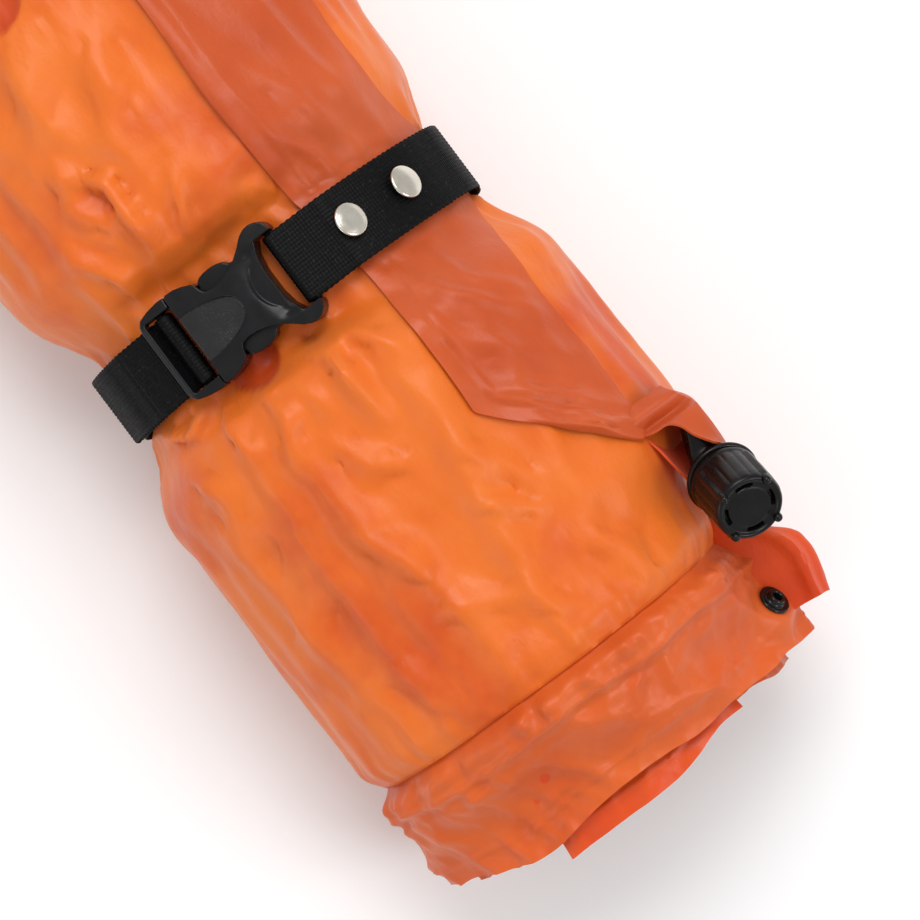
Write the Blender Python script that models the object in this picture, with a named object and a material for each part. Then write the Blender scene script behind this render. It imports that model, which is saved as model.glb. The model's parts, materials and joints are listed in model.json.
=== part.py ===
"""Rolled, welded, padded dry bag held by a webbing strap, with a corner twist valve.

Metres, +Z up. X runs along the roll towards the valve end, Y across it towards the
riveted side of the strap, and the bag lies on its flat underside at Z = 0.
Roll coordinates are centred on the roll's own axis, which sits at Y = ROLL_Y.
"""

import math

import bmesh
import bpy
from mathutils import Matrix, Vector

MM = 0.001
TAU = 2 * math.pi
GAP = 0.3 * MM

# ---- the roll ----------------------------------------------------------------
ROLL_Y = -3.5 * MM
PAD_END = 150 * MM
FLANGE_END = 194 * MM
HALF_WIDTH = 78 * MM
ROLL_HEIGHT = 118 * MM
FLAT_CUT = 5 * MM
BARE_HALF_WIDTH = 66 * MM
CORNER_START, CORNER_END = 107 * MM, 131 * MM

WAIST_SIDE = 13 * MM
WAIST_TOP = 13 * MM
WAIST_BOTTOM = 4 * MM
WAIST_REACH = 30 * MM
GROOVE = 19 * MM

FLANGE_DROP = 22 * MM
FLANGE_LIFT = 3 * MM
FLANGE_NARROWING = 2 * MM
FLANGE_PITCH = 9 * MM

SKIN = 0.6 * MM
FOAM = 8.2 * MM
TURN_PITCH = 11 * MM
INNER_TURNS = 3.25
WELDED = 1.0 * MM
TURN_START, TURN_END = math.radians(36), math.radians(48 - 360)
TURN_STEPS = 28
STATIONS = [x * MM for x in (-150, -60, -36, -19, 19, 36, 60, 107, 131, 150)]

# ---- the welded edge band and the loose corner ---------------------------------
BAND_LIFT = 1.5 * MM
BAND_LEFT, BAND_RIGHT = 16 * MM, 60 * MM
MITRE_START, MITRE_END = 71 * MM, 110 * MM
MITRE_Y = 55 * MM
CORNER_X = (112 * MM, 184 * MM)

# ---- webbing strap ---------------------------------------------------------------
WEB_HALF = 12.5 * MM
WEB = 1.5 * MM
LOAD_LIFT = 1.15 * MM
UNDER_LIFT = 3.65 * MM
TOP_LIFT = 5.6 * MM
TAIL_LIFT = 3.35 * MM
HEM_LIFT = 5.35 * MM

# ---- rivets ------------------------------------------------------------------------
RIVET_ANGLES = (math.radians(68.5), math.radians(49.5))
RIVET_X = -0.5 * MM
RIVET_CAP_RADIUS = 5.6 * MM
RIVET_POST_RADIUS = 1.5 * MM
RIVET_TUBE_RADIUS = 2.3 * MM
RIVET_HOLE_RADIUS = 2.7 * MM

# ---- side-release buckle, in its own frame: x across, y along the strap, z up -------
SEAT_SLOPE = math.radians(10.5)
SEAT_Y, SEAT_Z = -19 * MM, 97.4 * MM
MOUTH_Y = -32 * MM
BUCKLE_LIFT = 6.0 * MM
SOCKET_HALF_THICK = 5.5 * MM
CAVITY_HALF_THICK = 3.3 * MM
CAVITY_HALF_WIDTH = 13.2 * MM
CAVITY_DEPTH = 27 * MM
SOCKET_BAR_Y, SOCKET_BAR_Z = 38.2 * MM, -0.9 * MM
PLUG_BAR_Y, PLUG_BAR_Z = -5.0 * MM, -0.4 * MM
BAR_RADIUS = 1.6 * MM
BAR_WRAP = 2.5 * MM
PRONG_PIVOT = (6.5 * MM, 5.2 * MM)
PRONG_HALF_THICK = 2.9 * MM

# ---- twist valve, in its own frame: z along the cap's axis from the collar's face -----
VALVE_PLACE = Vector((133.5, 72.75, 92.0)) * MM
VALVE_TILT = math.radians(33)
NECK_RADIUS, PORT_RADIUS = 9.2 * MM, 4.25 * MM
O_RING_Z, O_RING_WIRE = 4.05 * MM, 0.55 * MM
NECK_TOP = 13.8 * MM
CAP_RADIUS, CAP_BORE = 11.7 * MM, 9.9 * MM
CAP_BOTTOM, CAP_TOP, CAP_PLATE = 0.9 * MM, 21 * MM, 17.6 * MM
GRIPS = 4
GRIP_TURN = math.radians(31)
GRIP_RADIUS, GRIP_SINK = 1.3 * MM, 0.5 * MM
SLOT_RADII = (8.4 * MM, 7.3 * MM)
SLOT_HALF_ANGLE = math.radians(20)
COLLAR_RADIUS = 12.3 * MM
BOAT_HALF_LENGTH, BOAT_HALF_WIDTH, BOAT_DEPTH = 17.5 * MM, 4.8 * MM, 12 * MM

# ---- press stud in the end flange ------------------------------------------------------
STUD_X, STUD_ANGLE = 176 * MM, math.radians(20)
STUD_HOLE_RADIUS = 2.6 * MM


def reset():
    for thing in list(bpy.data.objects):
        bpy.data.objects.remove(thing)


def material(name, colour, roughness, metallic=0.0):
    made = bpy.data.materials.new(name)
    made.use_nodes = True
    shader = made.node_tree.nodes["Principled BSDF"]
    shader.inputs["Base Color"].default_value = (*colour, 1)
    shader.inputs["Roughness"].default_value = roughness
    shader.inputs["Metallic"].default_value = metallic
    return made


def empty(name, place, rotation=(0, 0, 0), parent=None):
    made = bpy.data.objects.new(name, None)
    made.location = place
    made.rotation_euler = rotation
    made.parent = parent
    bpy.context.collection.objects.link(made)
    return made


def finished(name, bm, look, parent):
    bmesh.ops.recalc_face_normals(bm, faces=bm.faces)
    mesh = bpy.data.meshes.new(name)
    bm.to_mesh(mesh)
    bm.free()
    mesh.shade_smooth()
    mesh.set_sharp_from_angle(angle=math.radians(35))
    made = bpy.data.objects.new(name, mesh)
    made.parent = parent
    if look:
        mesh.materials.append(look)
    bpy.context.collection.objects.link(made)
    return made


def guide(made):
    made.hide_render = True
    made.display_type = "WIRE"
    return made


def boolean(target, other, operation):
    modifier = target.modifiers.new(operation.title(), "BOOLEAN")
    modifier.operation = operation
    modifier.object = guide(other)
    modifier.solver = "EXACT"


def bevelled(target, width, segments=1):
    modifier = target.modifiers.new("Bevel", "BEVEL")
    modifier.width = width
    modifier.segments = segments
    modifier.limit_method = "ANGLE"
    modifier.angle_limit = math.radians(50)


# ---- basic solids ----------------------------------------------------------------------


def sheet_between(name, outer, inner, look, parent):
    """A closed sheet whose two faces are the grids of points outer and inner."""
    bm = bmesh.new()
    rows, columns = len(outer), len(outer[0])
    top = [[bm.verts.new(p) for p in row] for row in outer]
    low = [[bm.verts.new(p) for p in row] for row in inner]
    for i in range(rows - 1):
        for j in range(columns - 1):
            bm.faces.new((top[i][j], top[i][j + 1], top[i + 1][j + 1], top[i + 1][j]))
            bm.faces.new((low[i][j], low[i + 1][j], low[i + 1][j + 1], low[i][j + 1]))
    for j in range(columns - 1):
        bm.faces.new((top[0][j], low[0][j], low[0][j + 1], top[0][j + 1]))
        bm.faces.new((top[-1][j], top[-1][j + 1], low[-1][j + 1], low[-1][j]))
    for i in range(rows - 1):
        bm.faces.new((top[i][0], top[i + 1][0], low[i + 1][0], low[i][0]))
        bm.faces.new((top[i][-1], low[i][-1], low[i + 1][-1], top[i + 1][-1]))
    return finished(name, bm, look, parent)


def prism(name, outline, low, high, look, parent):
    """An outline of (x, y) points, extruded from z = low to z = high."""
    bm = bmesh.new()
    face = bm.faces.new([bm.verts.new((x, y, low)) for x, y in outline])
    made = bmesh.ops.extrude_face_region(bm, geom=[face])
    moved = [v for v in made["geom"] if isinstance(v, bmesh.types.BMVert)]
    bmesh.ops.translate(bm, vec=(0, 0, high - low), verts=moved)
    return finished(name, bm, look, parent)


def turned(name, profile, segments, look, parent):
    """A closed ring or plug turned about z from (radius, height) points."""
    bm = bmesh.new()
    rings = []
    for radius, height in profile:
        if radius < 1e-7:
            rings.append([bm.verts.new((0, 0, height))])
            continue
        angles = [TAU * k / segments for k in range(segments)]
        rings.append(
            [bm.verts.new((radius * math.cos(a), radius * math.sin(a), height)) for a in angles]
        )
    closed = all(radius > 1e-7 for radius, _ in profile)
    pairs = list(zip(rings, rings[1:])) + ([(rings[-1], rings[0])] if closed else [])
    for a, b in pairs:
        for k in range(segments):
            n = (k + 1) % segments
            corners = {
                (True, True): lambda: (a[k], a[n], b[n], b[k]),
                (True, False): lambda: (a[k], a[n], b[0]),
                (False, True): lambda: (a[0], b[n], b[k]),
            }[(len(a) > 1, len(b) > 1)]()
            bm.faces.new(corners)
    return finished(name, bm, look, parent)


def rod(name, start, end, radius, segments, parent):
    """A round bar between two points, used to cut holes and to add bars."""
    axis = Vector(end) - Vector(start)
    bm = bmesh.new()
    bmesh.ops.create_cone(
        bm, cap_ends=True, segments=segments, radius1=radius, radius2=radius, depth=axis.length
    )
    turn = axis.to_track_quat("Z", "Y").to_matrix().to_4x4()
    middle = Matrix.Translation((Vector(start) + Vector(end)) / 2)
    bmesh.ops.transform(bm, matrix=middle @ turn, verts=bm.verts)
    return finished(name, bm, None, parent)


def ribbon(name, path, look, parent):
    """Webbing: a flat strip of the strap's width swept along (y, z) points."""
    outer, inner = [], []
    for k, point in enumerate(path):
        before, after = path[max(k - 1, 0)], path[min(k + 1, len(path) - 1)]
        along = (after - before).normalized()
        side = Vector((-along.y, along.x)) * WEB / 2
        outer.append([Vector((x, *(point + side))) for x in (-WEB_HALF, WEB_HALF)])
        inner.append([Vector((x, *(point - side))) for x in (-WEB_HALF, WEB_HALF)])
    return sheet_between(name, outer, inner, look, parent)


# ---- the roll's section ----------------------------------------------------------------


def ramp(start, end, x):
    t = min(max((x - start) / (end - start), 0), 1)
    return t * t * (3 - 2 * t)


def section_size(x):
    """Left and right half widths, top and underside heights of the roll at x."""
    waist = math.exp(-((x / WAIST_REACH) ** 4))
    flange = ramp(PAD_END - 2 * MM, FLANGE_END, abs(x))
    bare = ramp(CORNER_START, CORNER_END, x)
    left = HALF_WIDTH - WAIST_SIDE * waist - FLANGE_NARROWING * flange
    right = HALF_WIDTH + (BARE_HALF_WIDTH - HALF_WIDTH) * bare - WAIST_SIDE * waist
    top = ROLL_HEIGHT - WAIST_TOP * waist - FLANGE_DROP * flange
    bottom = WAIST_BOTTOM * waist + FLANGE_LIFT * flange
    return left, right, top, bottom


def seat_height(y):
    """The flat that the buckle presses into the roll's top."""
    return SEAT_Z + math.tan(SEAT_SLOPE) * (y - SEAT_Y)


def roll_point(x, angle, inset=0.0):
    """A point on the roll's section at x, drawn in towards the roll's middle by inset."""
    left, right, top, bottom = section_size(x)
    half = (top - bottom + FLAT_CUT) / 2
    centre = top - half
    across = right if math.cos(angle) > 0 else left
    y = across * math.cos(angle)
    z = max(centre + half * math.sin(angle), bottom)
    if abs(x) < GROOVE + 1 * MM:
        z = min(z, seat_height(y))
    return Vector((x, y * (1 - inset / across), centre + (z - centre) * (1 - inset / half)))


def roll_normal(x, angle):
    a = roll_point(x, angle - 0.02)
    b = roll_point(x, angle + 0.02)
    along = (b - a).normalized()
    return Vector((0, along.z, -along.y))


def spread(start, end, steps):
    return [start + (end - start) * k / steps for k in range(steps + 1)]


def pinch(x):
    """How much thinner the wound turns are pressed at x than in the full roll."""
    _, _, top, bottom = section_size(x)
    return min((top - bottom) / ROLL_HEIGHT, 1)


def wound_point(x, angle, start, depth):
    return roll_point(x, angle, start + depth * pinch(x))


def shell(name, xs, angles, start, thickness, look, parent, pitch=0.0):
    """A turn of sheet, or a spiral of turns, below the roll's surface."""

    def grid(extra):
        return [
            [wound_point(x, a, start, pitch * (angles[0] - a) / TAU + extra) for a in angles]
            for x in xs
        ]

    return sheet_between(name, grid(0), grid(thickness), look, parent)


# ---- soft goods ------------------------------------------------------------------------


def build_roll(looks, root):
    turn = spread(TURN_START, TURN_END, TURN_STEPS)
    shell("outer_skin", STATIONS, turn, 0, SKIN, looks["panel"], root)
    shell("foam_pad", STATIONS, turn, SKIN + GAP, FOAM, looks["foam"], root)
    lining = SKIN + FOAM + 2 * GAP
    shell("lining_skin", STATIONS, turn, lining, SKIN, looks["panel"], root)
    inner_end = TURN_START - INNER_TURNS * TAU
    inner_angles = spread(TURN_START, inner_end, round(INNER_TURNS * 16))
    start = lining + SKIN + 1.2 * MM
    thickness = TURN_PITCH - 1.2 * MM
    shell("inner_turns", STATIONS, inner_angles, start, thickness, looks["foam"], root, TURN_PITCH)
    depth = TURN_PITCH * INNER_TURNS + thickness + 1 * MM
    build_core(start, depth, spread(0, TAU, 16)[:-1], looks, root)


def build_core(start, depth, angles, looks, root):
    """The sheet's inner end, folded flat, fills the middle of the winding."""
    bm = bmesh.new()
    rings = []
    for x in STATIONS:
        rings.append([bm.verts.new(wound_point(x, a, start, depth)) for a in angles])
    for a, b in zip(rings, rings[1:]):
        for k in range(len(angles)):
            n = (k + 1) % len(angles)
            bm.faces.new((a[k], a[n], b[n], b[k]))
    bm.faces.new(rings[0])
    bm.faces.new(rings[-1])
    finished("core_fold", bm, looks["foam"], root)


def build_flanges(looks, root):
    """Where the two skins are welded together past the padding, at each end."""
    for side, name in ((1, "valve_end"), (-1, "far_end")):
        xs = [side * x for x in spread(PAD_END + 0.5 * MM, FLANGE_END, 3)]
        turn = spread(TURN_START, TURN_END, TURN_STEPS)
        flange = shell(name + "_flange", xs, turn, 0.5 * MM, WELDED, looks["band"], root)
        inner_xs = [side * x for x in spread(PAD_END + 0.5 * MM, FLANGE_END - 5 * MM, 1)]
        inner_turn = spread(TURN_START, TURN_START - 2 * TAU, 40)
        step = FLANGE_PITCH
        shell(name + "_inner_flange", inner_xs, inner_turn, step, WELDED, looks["band"], root, step)
        if side > 0:
            place, out = stud_frame()
            reach = out * 6 * MM
            hole = rod("stud_hole", place - reach, place + reach, STUD_HOLE_RADIUS, 16, root)
            boolean(flange, hole, "DIFFERENCE")


def band_left_edge(x):
    if x < MITRE_START:
        return BAND_LEFT
    return BAND_LEFT + (MITRE_Y - BAND_LEFT) * (x - MITRE_START) / (MITRE_END - MITRE_START)


def angle_at(x, y):
    _, right, _, _ = section_size(x)
    return math.acos(min(y / right, 1))


def build_band(looks, root):
    """The bag's long welded edge lies over the roll, its corner cut on the mitre."""
    xs = [x * MM for x in (-194, -150, -60, -36, -19, 19, 36, 52)]
    xs += [MITRE_START, 90 * MM, MITRE_END]

    def grid(lift):
        rows = []
        for x in xs:
            start = angle_at(x, band_left_edge(x))
            end = angle_at(x, BAND_RIGHT)
            rows.append([roll_point(x, a, -lift) for a in spread(start, end, 10)])
        return rows

    band = sheet_between(
        "edge_band", grid(BAND_LIFT + WELDED - 0.1 * MM), grid(BAND_LIFT), looks["band"], root
    )
    for k, angle in enumerate(RIVET_ANGLES):
        boolean(band, rivet_cutter(f"band_hole_{k + 1}", angle, root), "DIFFERENCE")


def build_corner(looks, root):
    """The loose welded corner that stands beside the roll and carries the valve."""
    xs = spread(CORNER_X[0], CORNER_X[1], 8)
    boat_low = VALVE_PLACE + Vector((-math.sin(VALVE_TILT), 0, -math.cos(VALVE_TILT))) * 13.4 * MM

    def grid(lift):
        rows = []
        for x in xs:
            rise = (x - boat_low.x) * -math.tan(VALVE_TILT)
            top = boat_low.z + max(rise, -14 * MM) if x < 145 * MM else boat_low.z - 12 * MM
            rows.append([corner_point(x, z, lift) for z in spread(top, 44 * MM, 4)])
        return rows

    sheet_between("corner_tab", grid(WELDED), grid(0), looks["tab"], root)


def corner_point(x, z, lift):
    _, right, top, bottom = section_size(x)
    half = (top - bottom + FLAT_CUT) / 2
    rise = min(abs(z - (top - half)) / half, 1)
    side = right * math.sqrt(1 - rise * rise) + 1.2 * MM
    stand = 73.2 * MM + 4.5 * MM * ramp(129 * MM, 184 * MM, x)
    return Vector((x, max(stand, side) + lift, z))


# ---- strap -----------------------------------------------------------------------------


def groove_point(angle, lift):
    """A (y, z) point at a height over the strap's groove."""
    point = roll_point(GROOVE, angle, -lift)
    return Vector((point.y, point.z))


def section_path(start, end, lift_start, lift_end, steps):
    """Centre-line points round the groove, from one angle and lift to another."""
    angles = spread(start, end, steps)
    return [groove_point(a, h) for a, h in zip(angles, spread(lift_start, lift_end, steps))]


def buckle_axes():
    along = Vector((math.cos(SEAT_SLOPE), math.sin(SEAT_SLOPE)))
    up = Vector((-math.sin(SEAT_SLOPE), math.cos(SEAT_SLOPE)))
    origin = Vector((MOUTH_Y, seat_height(MOUTH_Y))) + up * BUCKLE_LIFT
    return origin, along, up


def in_buckle(y, z):
    """A (y, z) point of the buckle's frame, in roll coordinates."""
    origin, along, up = buckle_axes()
    return origin + along * y + up * z


def bar_wrap(bar_y, bar_z, start, end, steps):
    points = []
    for angle in spread(start, end, steps):
        a = math.radians(angle)
        points.append(in_buckle(bar_y + BAR_WRAP * math.cos(a), bar_z + BAR_WRAP * math.sin(a)))
    return points


def build_strap(looks, root, plug):
    deg = math.radians
    path = section_path(deg(36), deg(76), UNDER_LIFT, UNDER_LIFT, 10)
    path += bar_wrap(SOCKET_BAR_Y, SOCKET_BAR_Z, -90, -270, 8)
    path += section_path(deg(76), deg(36), TOP_LIFT, TOP_LIFT, 10)
    path += section_path(deg(30), deg(24), TOP_LIFT, TOP_LIFT - 0.6 * MM, 1)
    path += section_path(deg(18), deg(8), TOP_LIFT - 1.8 * MM, LOAD_LIFT, 2)
    path += section_path(deg(0), deg(-180) + 0.004, LOAD_LIFT, LOAD_LIFT, 22)
    main = ribbon("strap_main", path, looks["webbing"], root)
    for k, angle in enumerate(RIVET_ANGLES):
        boolean(main, rivet_cutter(f"strap_hole_{k + 1}", angle, root), "DIFFERENCE")

    lead = section_path(deg(180) - 0.004, deg(134), LOAD_LIFT, LOAD_LIFT, 6)
    lead += [in_buckle(-9.5 * MM, -4.8 * MM), in_buckle(-7 * MM, -3.9 * MM)]
    lead += bar_wrap(PLUG_BAR_Y, PLUG_BAR_Z, -90, 198, 10)
    lead += [in_buckle(-9.2 * MM, -2.2 * MM), in_buckle(-12 * MM, -2.65 * MM)]
    lead += section_path(deg(131), deg(137), TAIL_LIFT, TAIL_LIFT + 0.6 * MM, 1)
    lead += section_path(deg(142), deg(166), HEM_LIFT, HEM_LIFT, 4)
    lead += [groove_point(deg(167.2), (HEM_LIFT + TAIL_LIFT) / 2)]
    lead += section_path(deg(166), deg(144), TAIL_LIFT, TAIL_LIFT, 4)
    ribbon("strap_lead", lead, looks["webbing"], plug)


def rivet_frame(angle):
    place = roll_point(GROOVE, angle)
    place.x = RIVET_X
    return place, roll_normal(GROOVE, angle)


def rivet_cutter(name, angle, parent):
    place, out = rivet_frame(angle)
    return rod(name, place - out * 3 * MM, place + out * 9 * MM, RIVET_HOLE_RADIUS, 16, parent)


def build_rivets(looks, root):
    """Two-piece tubular rivets: a domed cap with its post, and a tube with its washer."""
    for k, angle in enumerate(RIVET_ANGLES):
        place, out = rivet_frame(angle)
        tilt = math.atan2(out.y, out.z)
        frame = empty(f"rivet_frame_{k + 1}", place, (-tilt, 0, 0), root)
        dome = 6.7 * MM
        radius = RIVET_CAP_RADIUS
        cap = [(0, 3.2 * MM), (RIVET_POST_RADIUS, 3.2 * MM), (RIVET_POST_RADIUS, dome)]
        cap += [(radius - 0.4 * MM, dome), (radius, dome + 0.5 * MM)]
        cap += [(radius - 0.5 * MM, dome + 1.1 * MM)]
        cap += [(radius * 0.6, dome + 1.5 * MM), (0, dome + 1.7 * MM)]
        turned(f"rivet_cap_{k + 1}", cap, 24, looks["nickel"], frame)
        inner, tube = RIVET_POST_RADIUS + 0.3 * MM, RIVET_TUBE_RADIUS
        back = [(inner, 0.3 * MM), (4.6 * MM, 0.3 * MM), (4.6 * MM, 0.9 * MM)]
        back += [(tube, 0.9 * MM), (tube, 6.2 * MM), (inner, 6.2 * MM)]
        turned(f"rivet_back_{k + 1}", back, 20, looks["nickel"], frame)


# ---- buckle ----------------------------------------------------------------------------


def mirrored(points):
    """A closed outline from its right side, bottom to top, mirrored about x = 0."""
    right = [(x * MM, y * MM) for x, y in points]
    return right + [(-x, y) for x, y in reversed(right)]


def build_socket(looks, frame):
    outline = [(16.2, 0), (16.8, 0.8), (16.4, 4), (15.4, 7), (14.2, 9.8), (13.4, 10.4)]
    outline += [(9.9, 11.6), (9.4, 14.2), (9.8, 17.5), (10.8, 21), (12.2, 24.3), (14.8, 28)]
    outline += [(17.4, 31), (18.1, 34), (17.8, 37), (16.4, 39.2), (14.6, 39.8)]
    body = mirrored(outline)
    half = SOCKET_HALF_THICK
    socket = prism("buckle_socket", body, -half, half, looks["buckle"], frame)
    bevelled(socket, 0.9 * MM)
    width = CAVITY_HALF_WIDTH / MM
    cavity = mirrored([(width, -2), (width, CAVITY_DEPTH / MM)])
    thick = CAVITY_HALF_THICK
    boolean(socket, prism("plug_cavity", cavity, -thick, thick, None, frame), "DIFFERENCE")
    slot = mirrored([(4, 31.0), (9, 31.8), (13.2, 33.8), (13.2, 45)])
    height = SOCKET_HALF_THICK + 1 * MM
    boolean(socket, prism("webbing_slot", slot, -height, height, None, frame), "DIFFERENCE")
    scoop = [(8.9, -2), (8.9, 0.5), (7.9, 8), (6.4, 14), (4.6, 17.4), (2.4, 18.8)]
    floor = SOCKET_HALF_THICK - 0.9 * MM
    boolean(socket, prism("thumb_scoop", mirrored(scoop), floor, height, None, frame), "DIFFERENCE")
    bar_start = (-14.5 * MM, SOCKET_BAR_Y, SOCKET_BAR_Z)
    bar_end = (14.5 * MM, SOCKET_BAR_Y, SOCKET_BAR_Z)
    boolean(socket, rod("socket_bar", bar_start, bar_end, BAR_RADIUS, 12, frame), "UNION")


def build_plug(looks, plug):
    outline = [(13.0, -12.4), (15.2, -10.8), (16.3, -7), (16.8, -2), (16.6, -0.4)]
    frame = prism("buckle_plug", mirrored(outline), -4.4 * MM, 4.4 * MM, looks["buckle"], plug)
    bevelled(frame, 0.8 * MM)
    window = mirrored([(13.2, -10.4), (13.2, 4)])
    boolean(frame, prism("plug_window", window, -6 * MM, 6 * MM, None, plug), "DIFFERENCE")
    under_rail = mirrored([(13.2, -15), (13.2, -9)])
    boolean(frame, prism("under_rail", under_rail, -6 * MM, -1.4 * MM, None, plug), "DIFFERENCE")
    yoke = [(14.6, -2.2), (14.6, -0.6), (12.8, -0.6), (12.8, 3.1), (2.6, 3.1), (2.6, 21), (1.4, 24)]
    inner_window = mirrored([(12.6, -3), (12.6, -1.0), (12.0, -0.6), (2.0, 0.6)])
    stem = prism("plug_stem", mirrored(yoke), -2.4 * MM, 2.4 * MM, None, plug)
    boolean(stem, prism("stem_window", inner_window, -5 * MM, 5 * MM, None, plug), "DIFFERENCE")
    boolean(frame, stem, "UNION")
    bar_start = (-14.5 * MM, PLUG_BAR_Y, PLUG_BAR_Z)
    bar_end = (14.5 * MM, PLUG_BAR_Y, PLUG_BAR_Z)
    boolean(frame, rod("plug_bar", bar_start, bar_end, BAR_RADIUS, 12, plug), "UNION")


def build_prongs(looks, plug):
    """The two sprung arms, each about the root that it flexes from."""
    arm = [(5.2, 6.6), (4.9, 5.2), (5.5, 3.9), (6.5, 3.55), (7.5, 3.9), (8.6, 5.6), (10.6, 9.6)]
    arm += [(12.2, 10.9), (14.0, 11.2), (14.8, 13.2), (15.1, 16.5), (14.9, 19.4), (14.3, 21.6)]
    arm += [(12.6, 22.6), (12.3, 25.0), (11.2, 26.0), (10.2, 25.2), (9.5, 20), (8.4, 11.8)]
    px, py = PRONG_PIVOT
    for side, name in ((1, "right"), (-1, "left")):
        root = empty(f"prong_root_{name}", (side * px, py, 0), (0, 0, 0), plug)
        outline = [(side * (x * MM - px), y * MM - py) for x, y in arm]
        low, high = -PRONG_HALF_THICK, PRONG_HALF_THICK
        prong = prism(f"plug_prong_{name}", outline, low, high, looks["buckle"], root)
        bevelled(prong, 0.6 * MM)


# ---- valve -----------------------------------------------------------------------------


def lens(half_length, half_width, count):
    """A boat-shaped outline: two arcs that meet at pointed ends."""
    points = []
    for k in range(count):
        a = TAU * k / count
        bow = 0.6 * math.sin(a) + 0.4 * math.sin(a) ** 3
        points.append((half_length * math.cos(a), half_width * bow))
    return points


def build_valve_body(looks, frame):
    count = 28
    circle = [(math.cos(TAU * k / count), math.sin(TAU * k / count)) for k in range(count)]
    neck = NECK_RADIUS
    boat = lens(BOAT_HALF_LENGTH, BOAT_HALF_WIDTH, count)
    levels = [(boat, -BOAT_DEPTH), (boat, 4 * MM - BOAT_DEPTH)]
    rounds = [(10.6 * MM, -2 * MM), (COLLAR_RADIUS, -2 * MM), (COLLAR_RADIUS, 0), (neck, 0)]
    rounds += [(neck, O_RING_Z - 1.05 * MM), (neck - 0.9 * MM, O_RING_Z - 0.95 * MM)]
    rounds += [(neck - 0.9 * MM, O_RING_Z + 0.95 * MM), (neck, O_RING_Z + 1.05 * MM)]
    rounds += [(neck, NECK_TOP - 0.6 * MM), (neck - 0.6 * MM, NECK_TOP)]
    levels += [([(r * x, r * y) for x, y in circle], z) for r, z in rounds]
    bm = bmesh.new()
    rings = [[bm.verts.new((x, y, z)) for x, y in outline] for outline, z in levels]
    for a, b in zip(rings, rings[1:]):
        for k in range(count):
            n = (k + 1) % count
            bm.faces.new((a[k], a[n], b[n], b[k]))
    bm.faces.new(rings[0])
    bm.faces.new(rings[-1])
    body = finished("valve_body", bm, looks["valve"], frame)
    port = rod("valve_port", (0, 0, -20 * MM), (0, 0, 20 * MM), PORT_RADIUS, 20, frame)
    boolean(body, port, "DIFFERENCE")


def build_valve_cap(looks, frame):
    top, plate = CAP_TOP, CAP_PLATE
    rim = CAP_RADIUS
    profile = [(0, plate), (CAP_BORE, plate), (CAP_BORE, CAP_BOTTOM)]
    profile += [(rim - 0.3 * MM, CAP_BOTTOM), (rim, 1.4 * MM), (rim - 0.3 * MM, top - 1.2 * MM)]
    profile += [(rim - 1.1 * MM, top), (rim - 2.0 * MM, top), (rim - 2.3 * MM, top - 0.7 * MM)]
    profile += [(0, top - 0.7 * MM)]
    cap = turned("valve_cap", profile, 32, looks["valve"], frame)
    for k in range(GRIPS):
        a = TAU * k / GRIPS + GRIP_TURN
        x = (rim - GRIP_SINK) * math.cos(a)
        y = (rim - GRIP_SINK) * math.sin(a)
        low, high = (x, y, 4 * MM), (x, y, top + 0.6 * MM)
        boolean(cap, rod(f"cap_grip_{k + 1}", low, high, GRIP_RADIUS, 8, frame), "UNION")
        middle = TAU * (k + 0.5) / GRIPS + GRIP_TURN
        outside, inside = SLOT_RADII
        arc = [(outside, middle + t) for t in spread(-SLOT_HALF_ANGLE, SLOT_HALF_ANGLE, 4)]
        arc += [(inside, middle + t) for t in spread(SLOT_HALF_ANGLE, -SLOT_HALF_ANGLE, 4)]
        outline = [(r * math.cos(t), r * math.sin(t)) for r, t in arc]
        slot = prism(f"cap_slot_{k + 1}", outline, plate - 1 * MM, top + 1 * MM, None, frame)
        boolean(cap, slot, "DIFFERENCE")


def build_valve(looks, root):
    frame = empty("valve_frame", VALVE_PLACE, (0, VALVE_TILT, 0), root)
    build_valve_body(looks, frame)
    ring = []
    for k in range(8):
        a = TAU * k / 8
        radius = NECK_RADIUS - 0.15 * MM + O_RING_WIRE * math.cos(a)
        ring.append((radius, O_RING_Z + O_RING_WIRE * math.sin(a)))
    turned("valve_o_ring", ring, 28, looks["rubber"], frame)
    rise = empty("cap_rise", (0, 0, 0), (0, 0, 0), frame)
    low, high = NECK_TOP + GAP, CAP_PLATE - GAP
    disc = [(0, low), (7.2 * MM, low), (7.4 * MM, low + 0.9 * MM)]
    disc += [(7.4 * MM, high - 0.5 * MM), (6.9 * MM, high), (0, high)]
    turned("valve_seal_disc", disc, 24, looks["rubber"], rise)
    turn = empty("cap_turn", (0, 0, 0), (0, 0, 0), rise)
    build_valve_cap(looks, turn)


# ---- press stud ------------------------------------------------------------------------


def stud_frame():
    """The stud's place on the end flange, and the way out of the flange there."""
    place = roll_point(STUD_X, STUD_ANGLE, 0.5 * MM)
    step = 8 * MM
    along = roll_point(STUD_X + step, STUD_ANGLE) - roll_point(STUD_X - step, STUD_ANGLE)
    around = roll_point(STUD_X, STUD_ANGLE + 0.1) - roll_point(STUD_X, STUD_ANGLE - 0.1)
    return place, around.cross(along).normalized()


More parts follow.
